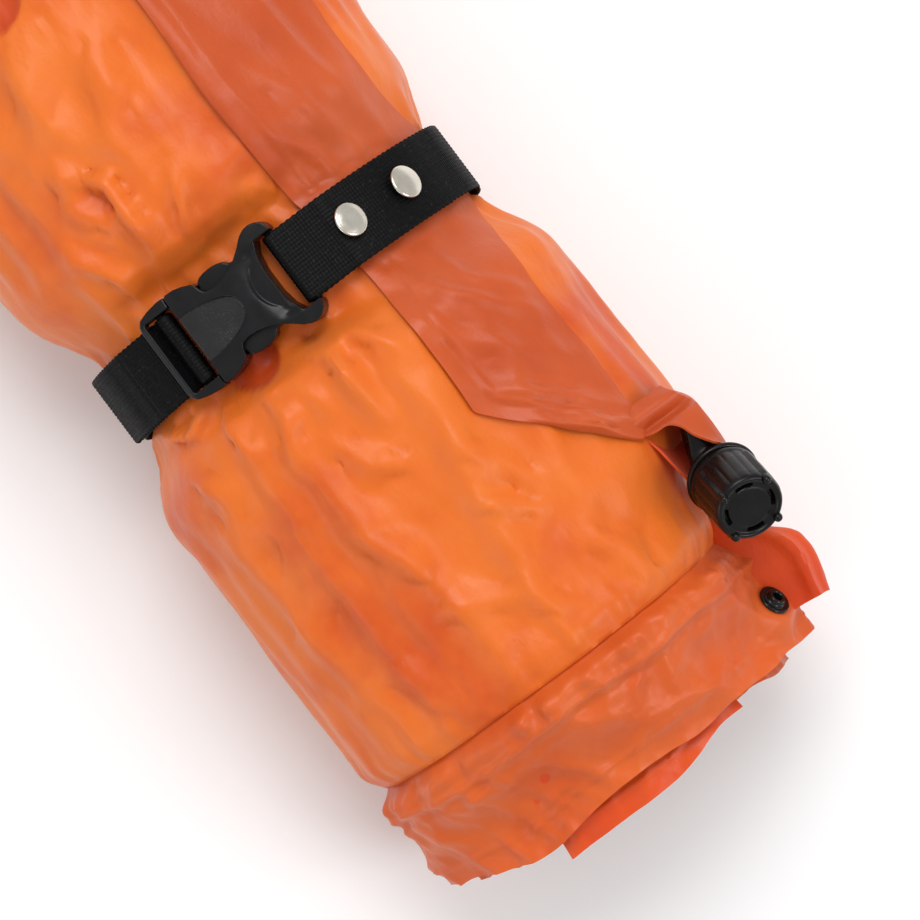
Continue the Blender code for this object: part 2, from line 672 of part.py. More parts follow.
def build_stud(looks, root):
    place, out = stud_frame()
    frame = empty("stud_frame", place, out.to_track_quat("Z", "Y").to_euler(), root)
    barrel = [(1.3 * MM, -3.4 * MM), (2.2 * MM, -3.4 * MM), (2.2 * MM, 0.5 * MM), (5.4 * MM, 0.5 * MM)]
    barrel += [(5.4 * MM, 1.2 * MM), (3.0 * MM, 1.9 * MM), (2.7 * MM, 4.2 * MM), (2.4 * MM, 4.6 * MM)]
    barrel += [(1.6 * MM, 4.6 * MM), (1.3 * MM, 4.3 * MM)]
    turned("stud_barrel", barrel, 24, looks["stud"], frame)
    back = [(2.5 * MM, -3.2 * MM), (4.8 * MM, -3.2 * MM), (4.8 * MM, -2.5 * MM), (2.5 * MM, -2.5 * MM)]
    turned("stud_back_ring", back, 24, looks["stud"], frame)


def main():
    reset()
    looks = {
        "panel": material("panel_orange", (0.80, 0.17, 0.03), 0.38),
        "band": material("band_orange", (0.63, 0.11, 0.03), 0.42),
        "tab": material("tab_orange", (0.75, 0.06, 0.01), 0.40),
        "foam": material("foam", (0.75, 0.68, 0.50), 0.90),
        "webbing": material("webbing_black", (0.012, 0.012, 0.013), 0.75),
        "buckle": material("buckle_charcoal", (0.035, 0.037, 0.042), 0.45),
        "nickel": material("nickel", (0.66, 0.62, 0.52), 0.25, 1.0),
        "valve": material("valve_black", (0.02, 0.018, 0.017), 0.40),
        "rubber": material("rubber_black", (0.015, 0.015, 0.015), 0.80),
        "stud": material("stud_black", (0.01, 0.01, 0.01), 0.20),
    }
    root = empty("dry_bag", (0, ROLL_Y, 0))
    origin, _, _ = buckle_axes()
    buckle = empty("buckle_frame", (0, origin.x, origin.y), (SEAT_SLOPE, 0, 0), root)
    plug = empty("plug_slide", (0, 0, 0), (0, 0, 0), buckle)
    plug_world = empty("plug_strap", (0, 0, 0), (0, 0, 0), root)
    build_roll(looks, root)
    build_flanges(looks, root)
    build_band(looks, root)
    build_corner(looks, root)
    build_strap(looks, root, plug_world)
    build_rivets(looks, root)
    build_socket(looks, buckle)
    build_plug(looks, plug)
    build_prongs(looks, plug)
    build_valve(looks, root)
    build_stud(looks, root)


main()
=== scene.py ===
"""The looks of the rolled dry bag: creased coated fabric, woven webbing, moulded buckle and valve.

Metres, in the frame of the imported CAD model. The roll runs along X with its valve end at +X.
"""

import json
import math

import bmesh
import bpy
import numpy as np
from mathutils import Matrix, Vector, noise


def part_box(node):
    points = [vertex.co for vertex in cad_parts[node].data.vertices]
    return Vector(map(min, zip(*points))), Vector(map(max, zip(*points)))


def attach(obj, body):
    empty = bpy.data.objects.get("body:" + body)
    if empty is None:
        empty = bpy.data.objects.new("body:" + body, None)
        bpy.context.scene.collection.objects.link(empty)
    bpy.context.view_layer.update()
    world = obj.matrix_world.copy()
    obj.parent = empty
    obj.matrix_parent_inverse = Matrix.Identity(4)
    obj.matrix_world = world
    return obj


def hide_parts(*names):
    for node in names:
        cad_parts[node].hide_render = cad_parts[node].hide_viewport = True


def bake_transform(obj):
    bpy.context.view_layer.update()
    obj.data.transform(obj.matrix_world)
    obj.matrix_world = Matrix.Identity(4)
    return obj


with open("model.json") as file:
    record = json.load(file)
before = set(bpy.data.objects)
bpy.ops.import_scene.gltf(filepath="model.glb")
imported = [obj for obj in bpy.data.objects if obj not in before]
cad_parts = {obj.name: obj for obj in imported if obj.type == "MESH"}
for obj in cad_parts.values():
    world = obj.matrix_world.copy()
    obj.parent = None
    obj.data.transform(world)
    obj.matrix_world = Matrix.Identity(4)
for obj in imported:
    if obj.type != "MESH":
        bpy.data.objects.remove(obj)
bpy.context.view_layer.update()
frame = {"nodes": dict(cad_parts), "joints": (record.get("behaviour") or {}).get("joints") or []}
joints = {j["name"]: j for j in frame["joints"]}

MM = 0.001
TAU = 2 * math.pi
deg = math.radians

# ---- driving dimensions, from the frame ----
SKIN_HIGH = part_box("outer_skin")[1]
PAD_END = SKIN_HIGH.x
FLANGE_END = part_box("valve_end_flange")[1].x
FAR_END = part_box("far_end_flange")[0].x
ROLL_HEIGHT = SKIN_HIGH.z
ROLL_Y = -3.5 * MM
HALF_WIDTH = 78 * MM
WEB_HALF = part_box("strap_main")[1].x

# ---- the roll's section, the same law as the CAD model's ----
FLAT_CUT = 5 * MM
BARE_HALF_WIDTH = 66 * MM
CORNER_START, CORNER_END = 107 * MM, 131 * MM
WAIST_SIDE, WAIST_TOP, WAIST_BOTTOM, WAIST_REACH = 13 * MM, 13 * MM, 4 * MM, 30 * MM
GROOVE = 19 * MM
FLANGE_DROP, FLANGE_LIFT, FLANGE_NARROWING = 22 * MM, 3 * MM, 2 * MM
SEAT_Y, SEAT_Z = -19 * MM, 97.4 * MM

# ---- thicknesses of the sheets, and the roll's mean radius ----
FILM = 0.8 * MM
PAD_THICK, SEAM_THICK = 9.6 * MM, 5.0 * MM
WEB_THICK = 1.5 * MM
MEAN_RADIUS = 66 * MM

# ---- strap ----
LOAD_LIFT, UNDER_LIFT, TOP_LIFT = 1.15 * MM, 3.65 * MM, 5.6 * MM
TAIL_LIFT, HEM_LIFT = 3.35 * MM, 5.35 * MM
BAR_WRAP = 2.5 * MM
SOCKET_BAR = (38.2 * MM, -0.9 * MM)
PLUG_BAR = (-5.0 * MM, -0.4 * MM)

# ---- frames of the fittings, from the record's joints ----
SLIDE = Vector(joints["buckle_release"]["axis"])
ALONG, UP = -SLIDE, Vector((0, SLIDE.z, -SLIDE.y))
PRONG_ROOT = Vector(joints["prong_squeeze_right"]["pos_m"])
PRONG_PIVOT = (6.5 * MM, 5.2 * MM)
BUCKLE = PRONG_ROOT - ALONG * PRONG_PIVOT[1] - Vector((PRONG_PIVOT[0], 0, 0))
SEAT_SLOPE = math.atan2(ALONG.z, ALONG.y)
BUCKLE_FRAME = Matrix.Translation(BUCKLE) @ Matrix.Rotation(SEAT_SLOPE, 4, "X")
VALVE = Vector(joints["cap_turn"]["pos_m"])
VALVE_AXIS = Vector(joints["cap_turn"]["axis"])
VALVE_TILT = math.atan2(VALVE_AXIS.x, VALVE_AXIS.z)
VALVE_FRAME = Matrix.Translation(VALVE) @ Matrix.Rotation(VALVE_TILT, 4, "Y")


def middle(node):
    """The middle of a CAD node's box."""
    low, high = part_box(node)
    return (low + high) / 2


STUD_BACK, STUD_FRONT = middle("stud_back_ring"), middle("stud_barrel")
STUD = STUD_BACK + (STUD_FRONT - STUD_BACK).normalized() * 4.6 * MM
STUD_OUT = Vector((-0.25, 0.74, 0.62)).normalized()


# ---- small tools ----


def ramp(start, end, x):
    t = np.clip((x - start) / (end - start), 0, 1)
    return t * t * (3 - 2 * t)


def bell(x, width):
    return np.exp(-((x / width) ** 2))


def apart(angle, centre):
    """How far an angle is from a centre, the short way round."""
    return (angle - centre + math.pi) % TAU - math.pi


def spread(start, end, steps):
    return [start + (end - start) * k / steps for k in range(steps + 1)]


def linked(name, data):
    """A new object in the scene, with a mesh, a lamp or a camera for its data."""
    made = bpy.data.objects.new(name, data)
    bpy.context.scene.collection.objects.link(made)
    return made


def mesh_object(name, points, faces, look):
    mesh = bpy.data.meshes.new(name)
    mesh.from_pydata([tuple(p) for p in points], [], [tuple(f) for f in faces])
    mesh.update()
    mesh.materials.append(look)
    mesh.shade_smooth()
    return linked(name, mesh)


def face_outward(made, sharp):
    """Normals turned outward, and edges over the angle in degrees kept sharp."""
    bm = bmesh.new()
    bm.from_mesh(made.data)
    bmesh.ops.recalc_face_normals(bm, faces=bm.faces)
    bm.to_mesh(made.data)
    bm.free()
    made.data.set_sharp_from_angle(angle=deg(sharp))
    return made


def hand_over(piece, body, slot, *nodes):
    """The body that the piece moves with, its slot (not used), and the CAD nodes that it stands for."""
    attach(piece, body)
    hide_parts(*nodes)


def grid_faces(rows, columns, wrap, first=0, flip=False):
    across = np.arange(columns if wrap else columns - 1)
    i, j = np.meshgrid(np.arange(rows - 1), across, indexing="ij")
    n = (j + 1) % columns
    here, following = i * columns, (i + 1) * columns
    quads = np.stack([here + j, here + n, following + n, following + j], -1)
    quads = quads.reshape(-1, 4) + first
    return quads[:, ::-1] if flip else quads


def closed_sheet(name, outer, inner, look, wrap=False):
    """A closed sheet between two grids of points; with wrap, a tube closed at its two ends."""
    rows, columns = outer.shape[:2]
    count = rows * columns
    points = np.concatenate([outer.reshape(-1, 3), inner.reshape(-1, 3)])
    index = np.arange(count).reshape(rows, columns)
    faces = [grid_faces(rows, columns, wrap), grid_faces(rows, columns, wrap, count, True)]

    def rim(line, flip):
        a, b = line[:-1], line[1:]
        if flip:
            a, b = b, a
        faces.append(np.stack([b, a, a + count, b + count], -1))

    ends = [np.append(row, row[0]) if wrap else row for row in (index[0], index[-1])]
    rim(ends[0], False)
    rim(ends[1], True)
    if not wrap:
        rim(index[:, 0], True)
        rim(index[:, -1], False)
    return face_outward(mesh_object(name, points, np.concatenate(faces), look), 60)


def noise_field(x, y, z, scale, seed):
    """Smooth noise from about -1 to 1, sampled at points given as arrays in metres."""
    shift = Vector((seed * 7.13, seed * 3.77, seed * 1.91))
    flat = np.stack([np.ravel(x), np.ravel(y), np.ravel(z)], -1) / scale
    values = [noise.noise(Vector(p) + shift) for p in flat]
    return np.array(values).reshape(np.shape(x)) * 1.6


def blurred(field, steps, wrap):
    """The field averaged with its neighbours, over and over; rows don't wrap, columns may."""
    out = field.copy()
    for _ in range(steps):
        up = np.vstack([out[:1], out[:-1]])
        down = np.vstack([out[1:], out[-1:]])
        if wrap:
            left, right = np.roll(out, 1, 1), np.roll(out, -1, 1)
        else:
            left = np.hstack([out[:, :1], out[:, :-1]])
            right = np.hstack([out[:, 1:], out[:, -1:]])
        out = (2 * out + up + down + left + right) / 6
    return out


# ---- the roll's surface ----


def section_size(x):
    waist = np.exp(-((x / WAIST_REACH) ** 4))
    flange = ramp(PAD_END - 2 * MM, FLANGE_END, abs(x))
    bare = ramp(CORNER_START, CORNER_END, x)
    left = HALF_WIDTH - WAIST_SIDE * waist - FLANGE_NARROWING * flange
    right = HALF_WIDTH + (BARE_HALF_WIDTH - HALF_WIDTH) * bare - WAIST_SIDE * waist
    top = ROLL_HEIGHT - WAIST_TOP * waist - FLANGE_DROP * flange
    bottom = WAIST_BOTTOM * waist + FLANGE_LIFT * flange
    return left, right, top, bottom


def roll_surface(x, angle, lift=0.0):
    """Points (..., 3) on the roll's section at x and angle, raised by lift off the surface."""
    x, angle, lift = np.broadcast_arrays(
        np.asarray(x, float), np.asarray(angle, float), np.asarray(lift, float)
    )
    left, right, top, bottom = section_size(x)
    half = (top - bottom + FLAT_CUT) / 2
    centre = top - half
    across = np.where(np.cos(angle) > 0, right, left)
    y = across * np.cos(angle)
    z = np.maximum(centre + half * np.sin(angle), bottom)
    seat = SEAT_Z + math.tan(SEAT_SLOPE) * (y - SEAT_Y)
    near = 1 - ramp(GROOVE, GROOVE + 9 * MM, abs(x))
    z = z - near * np.maximum(z - seat, 0)
    y = y * (1 + lift / across)
    z = centre + (z - centre) * (1 + lift / half)
    return np.stack([x, y + ROLL_Y, z], -1)


def angle_at(x, y):
    """The angle on the roll's upper right side where it is y from the roll's axis."""
    _, right, _, _ = section_size(x)
    return np.arccos(np.clip(y / right, -1, 1))


# ---- materials ----


def new_look(name):
    look = bpy.data.materials.new(name)
    look.use_nodes = True
    return look, look.node_tree, look.node_tree.nodes["Principled BSDF"]


def set_values(node, values):
    for key, value in values.items():
        node.inputs[key].default_value = value


def add(tree, kind, values=None, **settings):
    node = tree.nodes.new(kind)
    for key, value in settings.items():
        setattr(node, key, value)
    set_values(node, values or {})
    return node


def ramp_node(tree, source, stops):
    node = add(tree, "ShaderNodeValToRGB")
    elements = node.color_ramp.elements
    elements[0].position, elements[0].color = stops[0][0], (*stops[0][1], 1)
    elements[1].position, elements[1].color = stops[-1][0], (*stops[-1][1], 1)
    for place, colour in stops[1:-1]:
        elements.new(place).color = (*colour, 1)
    tree.links.new(source, node.inputs["Fac"])
    return node.outputs["Color"]


def noise_node(tree, scale, detail=3, roughness=0.5, stretch=(1, 1, 1)):
    place = add(tree, "ShaderNodeTexCoord")
    mapping = add(tree, "ShaderNodeMapping", {"Scale": stretch})
    tree.links.new(place.outputs["Object"], mapping.inputs["Vector"])
    values = {"Scale": scale, "Detail": detail, "Roughness": roughness}
    node = add(tree, "ShaderNodeTexNoise", values)
    tree.links.new(mapping.outputs["Vector"], node.inputs["Vector"])
    return node.outputs["Fac"]


def tint(tree, shader, source, stops):
    tree.links.new(ramp_node(tree, source, stops), shader.inputs["Base Color"])


def uneven_roughness(tree, shader, source, low, high):
    """Roughness that wanders between two values."""
    rough = ramp_node(tree, source, [(0.3, (low,) * 3), (0.7, (high,) * 3)])
    tree.links.new(rough, shader.inputs["Roughness"])


def bump_chain(tree, shader, layers):
    """Bumps of (height socket, strength, distance), one on top of the other."""
    last = None
    for height, strength, distance in layers:
        bump = add(tree, "ShaderNodeBump", {"Strength": strength, "Distance": distance})
        tree.links.new(height, bump.inputs["Height"])
        if last:
            tree.links.new(last, bump.inputs["Normal"])
        last = bump.outputs["Normal"]
    tree.links.new(last, shader.inputs["Normal"])


def weave_height(tree, pitch):
    """A fine plain weave: two crossed sets of threads."""
    place = add(tree, "ShaderNodeTexCoord")
    waves = []
    for direction in ("X", "Y"):
        wave = add(tree, "ShaderNodeTexWave", {"Scale": 0.314 / pitch, "Distortion": 0.4})
        wave.bands_direction = direction
        tree.links.new(place.outputs["Object"], wave.inputs["Vector"])
        waves.append(wave.outputs["Fac"])
    mix = add(tree, "ShaderNodeMath", operation="MAXIMUM")
    tree.links.new(waves[0], mix.inputs[0])
    tree.links.new(waves[1], mix.inputs[1])
    return mix.outputs[0]


def coated_fabric(name, dark, middle, light, roughness, welded):
    look, tree, shader = new_look(name)
    blotch = noise_node(tree, 22, 4, 0.55)
    colour = ramp_node(tree, blotch, [(0.30, dark), (0.52, middle), (0.72, light)])
    if welded:
        amount = add(tree, "ShaderNodeAttribute", attribute_name="welded").outputs["Fac"]
        mix = add(tree, "ShaderNodeMixRGB", {"Color2": (*WELDED_COLOUR, 1)})
        tree.links.new(amount, mix.inputs["Fac"])
        tree.links.new(colour, mix.inputs["Color1"])
        colour = mix.outputs["Color"]
    tree.links.new(colour, shader.inputs["Base Color"])
    uneven_roughness(tree, shader, noise_node(tree, 60, 3), roughness - 0.06, roughness + 0.08)
    set_values(shader, {
        "Specular IOR Level": 0.32,
        "Sheen Weight": 0.06,
        "Subsurface Weight": 0.12,
        "Subsurface Scale": 0.004,
        "Subsurface Radius": (1.0, 0.35, 0.12),
    })
    layers = [
        (noise_node(tree, 95, 5, 0.6, (0.5, 1, 1)), 0.35, 0.0015),
        (noise_node(tree, 1100, 2, 0.5, (1, 0.55, 1)), 0.22, 0.0003),
        (weave_height(tree, 0.45 * MM), 0.12, 0.0001),
    ]
    bump_chain(tree, shader, layers)
    return look


def plastic(name, colour, light, roughness, grain=0.15, specular=0.5, fine=1600):
    look, tree, shader = new_look(name)
    tint(tree, shader, noise_node(tree, 140, 3), [(0.35, colour), (0.7, light)])
    uneven_roughness(tree, shader, noise_node(tree, 300, 2), roughness - 0.05, roughness + 0.07)
    shader.inputs["Specular IOR Level"].default_value = specular
    bump_chain(tree, shader, [(noise_node(tree, fine, 2), grain, 0.0002)])
    return look


def metal(name, colour, light, roughness):
    look, tree, shader = new_look(name)
    tint(tree, shader, noise_node(tree, 120, 3), [(0.35, colour), (0.65, light)])
    shader.inputs["Metallic"].default_value = 1.0
    uneven_roughness(tree, shader, noise_node(tree, 500, 3), roughness - 0.04, roughness + 0.06)
    bump_chain(tree, shader, [(noise_node(tree, 900, 2), 0.05, 0.0001)])
    return look


def webbing_look():
    look, tree, shader = new_look("webbing_black")
    # near-black with slight random tone, and lighter flecks painted into the colour as the weave's glints
    tone_and_painted_glints = [(0.3, (0.0015, 0.0015, 0.002)), (0.66, (0.004,) * 3), (0.82, (0.03,) * 3)]
    tint(tree, shader, noise_node(tree, 900, 2), tone_and_painted_glints)
    uneven_roughness(tree, shader, noise_node(tree, 700, 2), 0.42, 0.56)
    shader.inputs["Specular IOR Level"].default_value = 0.10
    bump_chain(tree, shader, [(noise_node(tree, 2600, 3), 0.35, 0.00012)])
    return look


# dark, middle and light colours of each fabric, and its roughness; the margin's set is the band's fabric
# painted lighter against the shade on the margin's slope
FABRICS = {
    "panel": ((0.576, 0.071, 0.005), (0.71, 0.141, 0.012), (0.74, 0.169, 0.019), 0.42),
    "band": ((0.46, 0.062, 0.010), (0.52, 0.080, 0.014), (0.57, 0.098, 0.020), 0.42),
    # painted light: the margin is the band's fabric, with its colours set lighter to make up for the
    # shade where it slopes down
    "margin": ((0.55, 0.070, 0.008), (0.63, 0.100, 0.013), (0.68, 0.125, 0.020), 0.40),
    "tab": ((0.56, 0.040, 0.003), (0.66, 0.065, 0.006), (0.70, 0.100, 0.012), 0.40),
    "lining": ((0.48, 0.055, 0.008), (0.56, 0.075, 0.012), (0.62, 0.10, 0.02), 0.46),
}
WELDED_COLOUR = (0.54, 0.058, 0.006)

looks = {
    "webbing": webbing_look(),
    "buckle": plastic("buckle_charcoal", (0.004, 0.004, 0.005), (0.007, 0.007, 0.008), 0.30, 0.10, 0.26),
    "buckle_grain": plastic("buckle_scoop", (0.005, 0.005, 0.006), (0.009, 0.009, 0.01), 0.26, 0.6),
    "nickel": metal("nickel", (0.66, 0.61, 0.52), (0.74, 0.70, 0.62), 0.24),
    "valve": plastic("valve_black", (0.003, 0.0027, 0.0025), (0.006, 0.005, 0.005), 0.28, 0.05, 0.24),
    "rubber": plastic("rubber_black", (0.012, 0.012, 0.012), (0.02, 0.02, 0.02), 0.7, 0.1),
    "stud": plastic("stud_black", (0.003, 0.003, 0.003), (0.006, 0.006, 0.006), 0.16, 0.03, 0.35),
    "foam": plastic("foam_cream", (0.62, 0.54, 0.36), (0.72, 0.64, 0.46), 0.9, 0.6, 0.2, 900),
}
for kind, colours in FABRICS.items():
    looks[kind] = coated_fabric(f"{kind}_orange", *colours, welded=kind == "panel")


# ---- creases of the padded panel ----

# soft folds on top of the roll: points (x, y) from the roll's axis, half width, height, in mm
FOLDS = [
    ([(-64, -35), (-53, -26), (-46, -26), (-19, -24)], 3.0, 2.6),
    ([(-76, -34), (-53, -38), (-36, -27)], 4.0, 1.6),
    ([(-126, -10), (-96, -22), (-66, -46)], 6.0, 1.2),
    ([(-106, 6), (-80, -6), (-58, -18)], 5.0, 1.0),
    ([(-23, 6), (-25, 10), (-22, 14)], 2.4, 1.6),
    ([(-44, -8), (-30, -13), (-16, -15)], 2.2, 1.4),
    ([(-42, -48), (-28, -40), (-15, -38)], 2.2, 1.8),
    ([(18, -13), (27, -3), (54, -1)], 3.2, 2.8),
    ([(15, -4), (27, 7), (42, 17)], 3.0, 1.8),
    ([(18, -36), (28, -40), (40, -41)], 2.6, 2.0),
    ([(17, -59), (22, -52), (19, -45)], 2.2, 2.2),
    ([(21, -26), (37, -25), (51, -33)], 3.0, 1.6),
    ([(30, -60), (44, -56), (62, -60)], 3.4, 1.5),
    ([(48, -20), (64, -14), (70, -4)], 4.0, 1.5),
    ([(75, 12), (86, 20), (102, 25)], 4.0, 1.3),
    ([(94, 6), (99, 14), (107, 22)], 3.0, 1.2),
    ([(113, -29), (116, -14), (125, 2), (138, 13)], 4.0, 1.0),
    ([(74, -34), (92, -22), (102, -20)], 4.5, 1.2),
    ([(116, -52), (128, -40), (142, -36)], 5.0, 0.9),
    ([(64, -48), (82, -52), (104, -66)], 6.0, 1.2),
    ([(120, 26), (132, 34), (145, 36)], 4.0, 1.3),
]
# round welded spots: x, y from the roll's axis and radius, in mm
WELD_DOTS = [(15, -24, 10), (-122, -23, 13)]


def segment_distance(px, py, a, b):
    ax, ay = a
    bx, by = b
    dx, dy = bx - ax, by - ay
    t = np.clip(((px - ax) * dx + (py - ay) * dy) / (dx * dx + dy * dy), 0, 1)
    return np.hypot(px - ax - t * dx, py - ay - t * dy), t


def crest(distance, width, sharpness, valley, away):
    """A crest that is 1 high at no distance, with a shallow valley some widths away."""
    return np.exp(-((distance / width) ** sharpness)) - valley * bell(distance - away * width, width)


def fold_field(x, y, points, half_width, height):
    """A soft crest along a line, tapered at its ends, with a shallow valley beside it."""
    count = len(points) - 1
    field = np.zeros(np.shape(x))
    for k, (a, b) in enumerate(zip(points, points[1:])):
        distance, t = segment_distance(x, y, a, b)
        along = (k + t) / count
        taper = np.sin(np.pi * np.clip(along * 0.86 + 0.07, 0, 1)) ** 0.7
        fold = crest(distance, half_width, 1.5, 0.35, 2.2) * taper * height
        field = np.where(abs(fold) > abs(field), fold, field)
    return field


def puckers(x, angle):
    """Gathers that run out from under the strap's two edges."""
    random = np.random.default_rng(11)
    field = np.zeros(np.shape(x))
    count = 30
    for side in (-1, 1):
        reach = side * x - WEB_HALF
        shown = ramp(-4 * MM, 1 * MM, reach)
        for k in range(count):
            place = TAU * (k + random.uniform(-0.35, 0.35)) / count
            length = random.uniform(12, 44) * MM
            width = random.uniform(1.7, 3.2) * MM
            slant = random.uniform(-0.55, 0.55)
            high = random.uniform(0.7, 2.5) * MM
            across = apart(angle, place) * MEAN_RADIUS - slant * reach
            wide = width * (1 + 1.7 * np.clip(reach / length, 0, 1))
            fade = np.exp(-((np.maximum(reach, 0) / length) ** 2)) * shown
            field += high * fade * crest(abs(across), wide, 1.25, 0.4, 2)
    return field


def panel_relief(x, angle):
    """How far the padded panel stands off the plain section at each point, in metres."""
    base = roll_surface(x, angle)
    y = base[..., 1] - ROLL_Y
    z = base[..., 2]
    top = ramp(60 * MM, 78 * MM, z)
    field = puckers(x, angle)
    field += 1.1 * MM * noise_field(x, y, z, 62 * MM, 1)
    field += 0.55 * MM * noise_field(x * 0.8, y, z, 24 * MM, 2)
    # low ridges where the film is crumpled, finer ones elsewhere
    calm = ramp(-0.5, 0.6, noise_field(x, y, z, 75 * MM, 5))
    field += 0.9 * MM * calm * (0.5 - abs(noise_field(x, y * 1.5, z, 30 * MM, 3)))
    field += 0.45 * MM * (1 - calm) * (0.5 - abs(noise_field(x * 1.3, y, z, 15 * MM, 4)))
    for points, half_width, height in FOLDS:
        field += top * fold_field(x / MM, y / MM, points, half_width, 1.7 * height) * MM
    for dot_x, dot_y, radius in WELD_DOTS:
        away = np.hypot(x / MM - dot_x, y / MM - dot_y)
        dent = 0.5 * bell(away - radius - 1, 1.6) - 1.6 * (1 - ramp(radius - 2.5, radius, away))
        field += top * dent * MM
    # soft bulges along the upper right side, and a hollow in the hidden half's side
    bulges = np.cos((x - 12 * MM) / (17 * MM)) * bell(apart(angle, deg(18)), 0.35)
    field += 1.2 * MM * bulges * ramp(20 * MM, 40 * MM, abs(x)) * (1 - ramp(90 * MM, 105 * MM, x))
    side = bell(apart(angle, deg(8)), 0.75)
    field -= 5 * MM * side * ramp(-10 * MM, -45 * MM, x) * ramp(-146 * MM, -120 * MM, x)
    # small ripples, and the pad thinning out, towards the seams at the two ends
    end = PAD_END - abs(x)
    ripple = np.cos(angle * 41 + 1.3 * np.sin(angle * 5)) * 0.5 + np.cos(angle * 67) * 0.3
    field += ripple * 1.1 * MM * np.exp(-end / (9 * MM)) * ramp(0, 4 * MM, end)
    field -= 4.6 * MM * (1 - ramp(0, 9 * MM, end) ** 0.6)
    strap = 1 - ramp(WEB_HALF - 2 * MM, WEB_HALF + 2 * MM, abs(x))
    field = field * (1 - strap) - 0.5 * MM * strap
    # the relief is pressed down under the buckle and under the band
    seat = (1 - ramp(GROOVE, GROOVE + 8 * MM, abs(x))) * bell(apart(angle, deg(103)), 0.42)
    field = np.where(field > 0, field * (1 - 0.9 * seat), field)
    band = ramp(14 * MM, 20 * MM, y) * ramp(62 * MM, 56 * MM, y) * ramp(100 * MM, 60 * MM, x)
    field = np.where(field > 0, field * (1 - 0.65 * band * top), field)
    under = ramp(12 * MM, 4 * MM, z)
    return field * (1 - 0.9 * under)


PANEL_STEP = 1.3 * MM
PANEL_COLUMNS = 340


def panel_grid():
    xs = np.linspace(-PAD_END, PAD_END, round(2 * PAD_END / PANEL_STEP) + 1)
    angles = np.arange(PANEL_COLUMNS) * TAU / PANEL_COLUMNS
    return np.meshgrid(xs, angles, indexing="ij")


def cloth_wrinkles(x, angle):
    """Wrinkles of the sheet over its padding, from a cloth simulation of the pinched roll."""
    xs, angles = x[::2, ::2], angle[::2, ::2]
    start = roll_surface(xs, angles)
    rows, columns = xs.shape
    faces = grid_faces(rows, columns, True, flip=True)
    trial = mesh_object("cloth_trial", start.reshape(-1, 3), faces, looks["panel"])
    group = trial.vertex_groups.new(name="held")
    held = ramp(WEB_HALF + 2 * MM, WEB_HALF - 3 * MM, abs(xs)) + ramp(PAD_END - 4 * MM, PAD_END, abs(xs))
    for k, weight in enumerate(np.clip(held, 0, 1).ravel()):
        if weight > 0:
            group.add([k], float(weight), "REPLACE")
    trial.shape_key_add(name="Basis")
    loose = trial.shape_key_add(name="flat_cut")
    full = roll_surface(np.sign(xs) * np.maximum(abs(xs), 58 * MM), angles)
    full[..., 0] = xs * 1.012
    loose.data.foreach_set("co", full.ravel())
    loose.value = 0
    modifier = trial.modifiers.new("Cloth", "CLOTH")
    cloth = modifier.settings
    cloth.quality = 6
    cloth.mass = 0.12
    cloth.tension_stiffness = 12
    cloth.compression_stiffness = 12
    cloth.shear_stiffness = 4
    cloth.bending_stiffness = 0.6
    cloth.vertex_group_mass = "held"
    cloth.rest_shape_key = loose
    cloth.use_pressure = True
    cloth.uniform_pressure_force = 3
    cloth.effector_weights.gravity = 0
    modifier.collision_settings.use_collision = False
    for number in range(1, 21):
        bpy.context.scene.frame_set(number)
    depsgraph = bpy.context.evaluated_depsgraph_get()
    result = trial.evaluated_get(depsgraph).data
    moved = np.empty(rows * columns * 3)
    result.vertices.foreach_get("co", moved)
    bpy.context.scene.frame_set(1)
    bpy.data.objects.remove(trial)
    outward = roll_surface(xs, angles, 1 * MM) - start
    outward /= np.linalg.norm(outward, axis=-1, keepdims=True)
    rise = ((moved.reshape(start.shape) - start) * outward).sum(-1)
    rise = blurred(np.clip(rise, -6 * MM, 9 * MM), 1, True)
    rise -= blurred(rise, 160, True)
    row, column = np.indices(x.shape) / 2
    return sampled(rise, row, column)


def sampled(field, row, column):
    """A grid read between its points; its columns wrap, and its rows don't."""
    row = np.clip(row, 0, field.shape[0] - 1)
    low, left = np.floor(row).astype(int), np.floor(column).astype(int)
    high = np.minimum(low + 1, field.shape[0] - 1)
    up, along = row - low, column - left
    left, right = left % field.shape[1], (left + 1) % field.shape[1]
    first = field[low, left] * (1 - along) + field[low, right] * along
    second = field[high, left] * (1 - along) + field[high, right] * along
    return first * (1 - up) + second * up


def build_panel():
    x, angle = panel_grid()
    relief = panel_relief(x, angle)
    relief += 1.5 * cloth_wrinkles(x, angle)
    end = PAD_END - abs(x)
    relief = np.where(abs(x) < WEB_HALF - 1 * MM, np.minimum(relief, -0.2 * MM), relief)
    outer = roll_surface(x, angle, relief)
    full = ramp(0, 6 * MM, end) ** 0.5
    inner = roll_surface(x, angle, -PAD_THICK * full - SEAM_THICK * (1 - full))
    outer[..., 2] = np.maximum(outer[..., 2], 0.1 * MM)
    inner[..., 2] = np.maximum(inner[..., 2], 0.8 * MM)
    panel = closed_sheet("panel", outer, inner, looks["panel"], wrap=True)
    welded = np.zeros(x.shape)
    for dot_x, dot_y, radius in WELD_DOTS:
        away = np.hypot(x / MM - dot_x, (outer[..., 1] - ROLL_Y) / MM - dot_y)
        welded = np.maximum(welded, ramp(radius, radius - 1.2, away) * (outer[..., 2] > 60 * MM))
    paint = panel.data.attributes.new("welded", "FLOAT", "POINT")
    paint.data.foreach_set("value", np.tile(welded.ravel(), 2))
    hand_over(panel, "bag", "panel", "outer_skin", "foam_pad", "lining_skin")
    return relief


panel_rise = build_panel()


def panel_lift_at(x, angle):
    """The panel's relief at any x and angle."""
    row = (x + PAD_END) / (2 * PAD_END) * (panel_rise.shape[0] - 1)
    return sampled(panel_rise, row, (angle % TAU) / TAU * PANEL_COLUMNS)


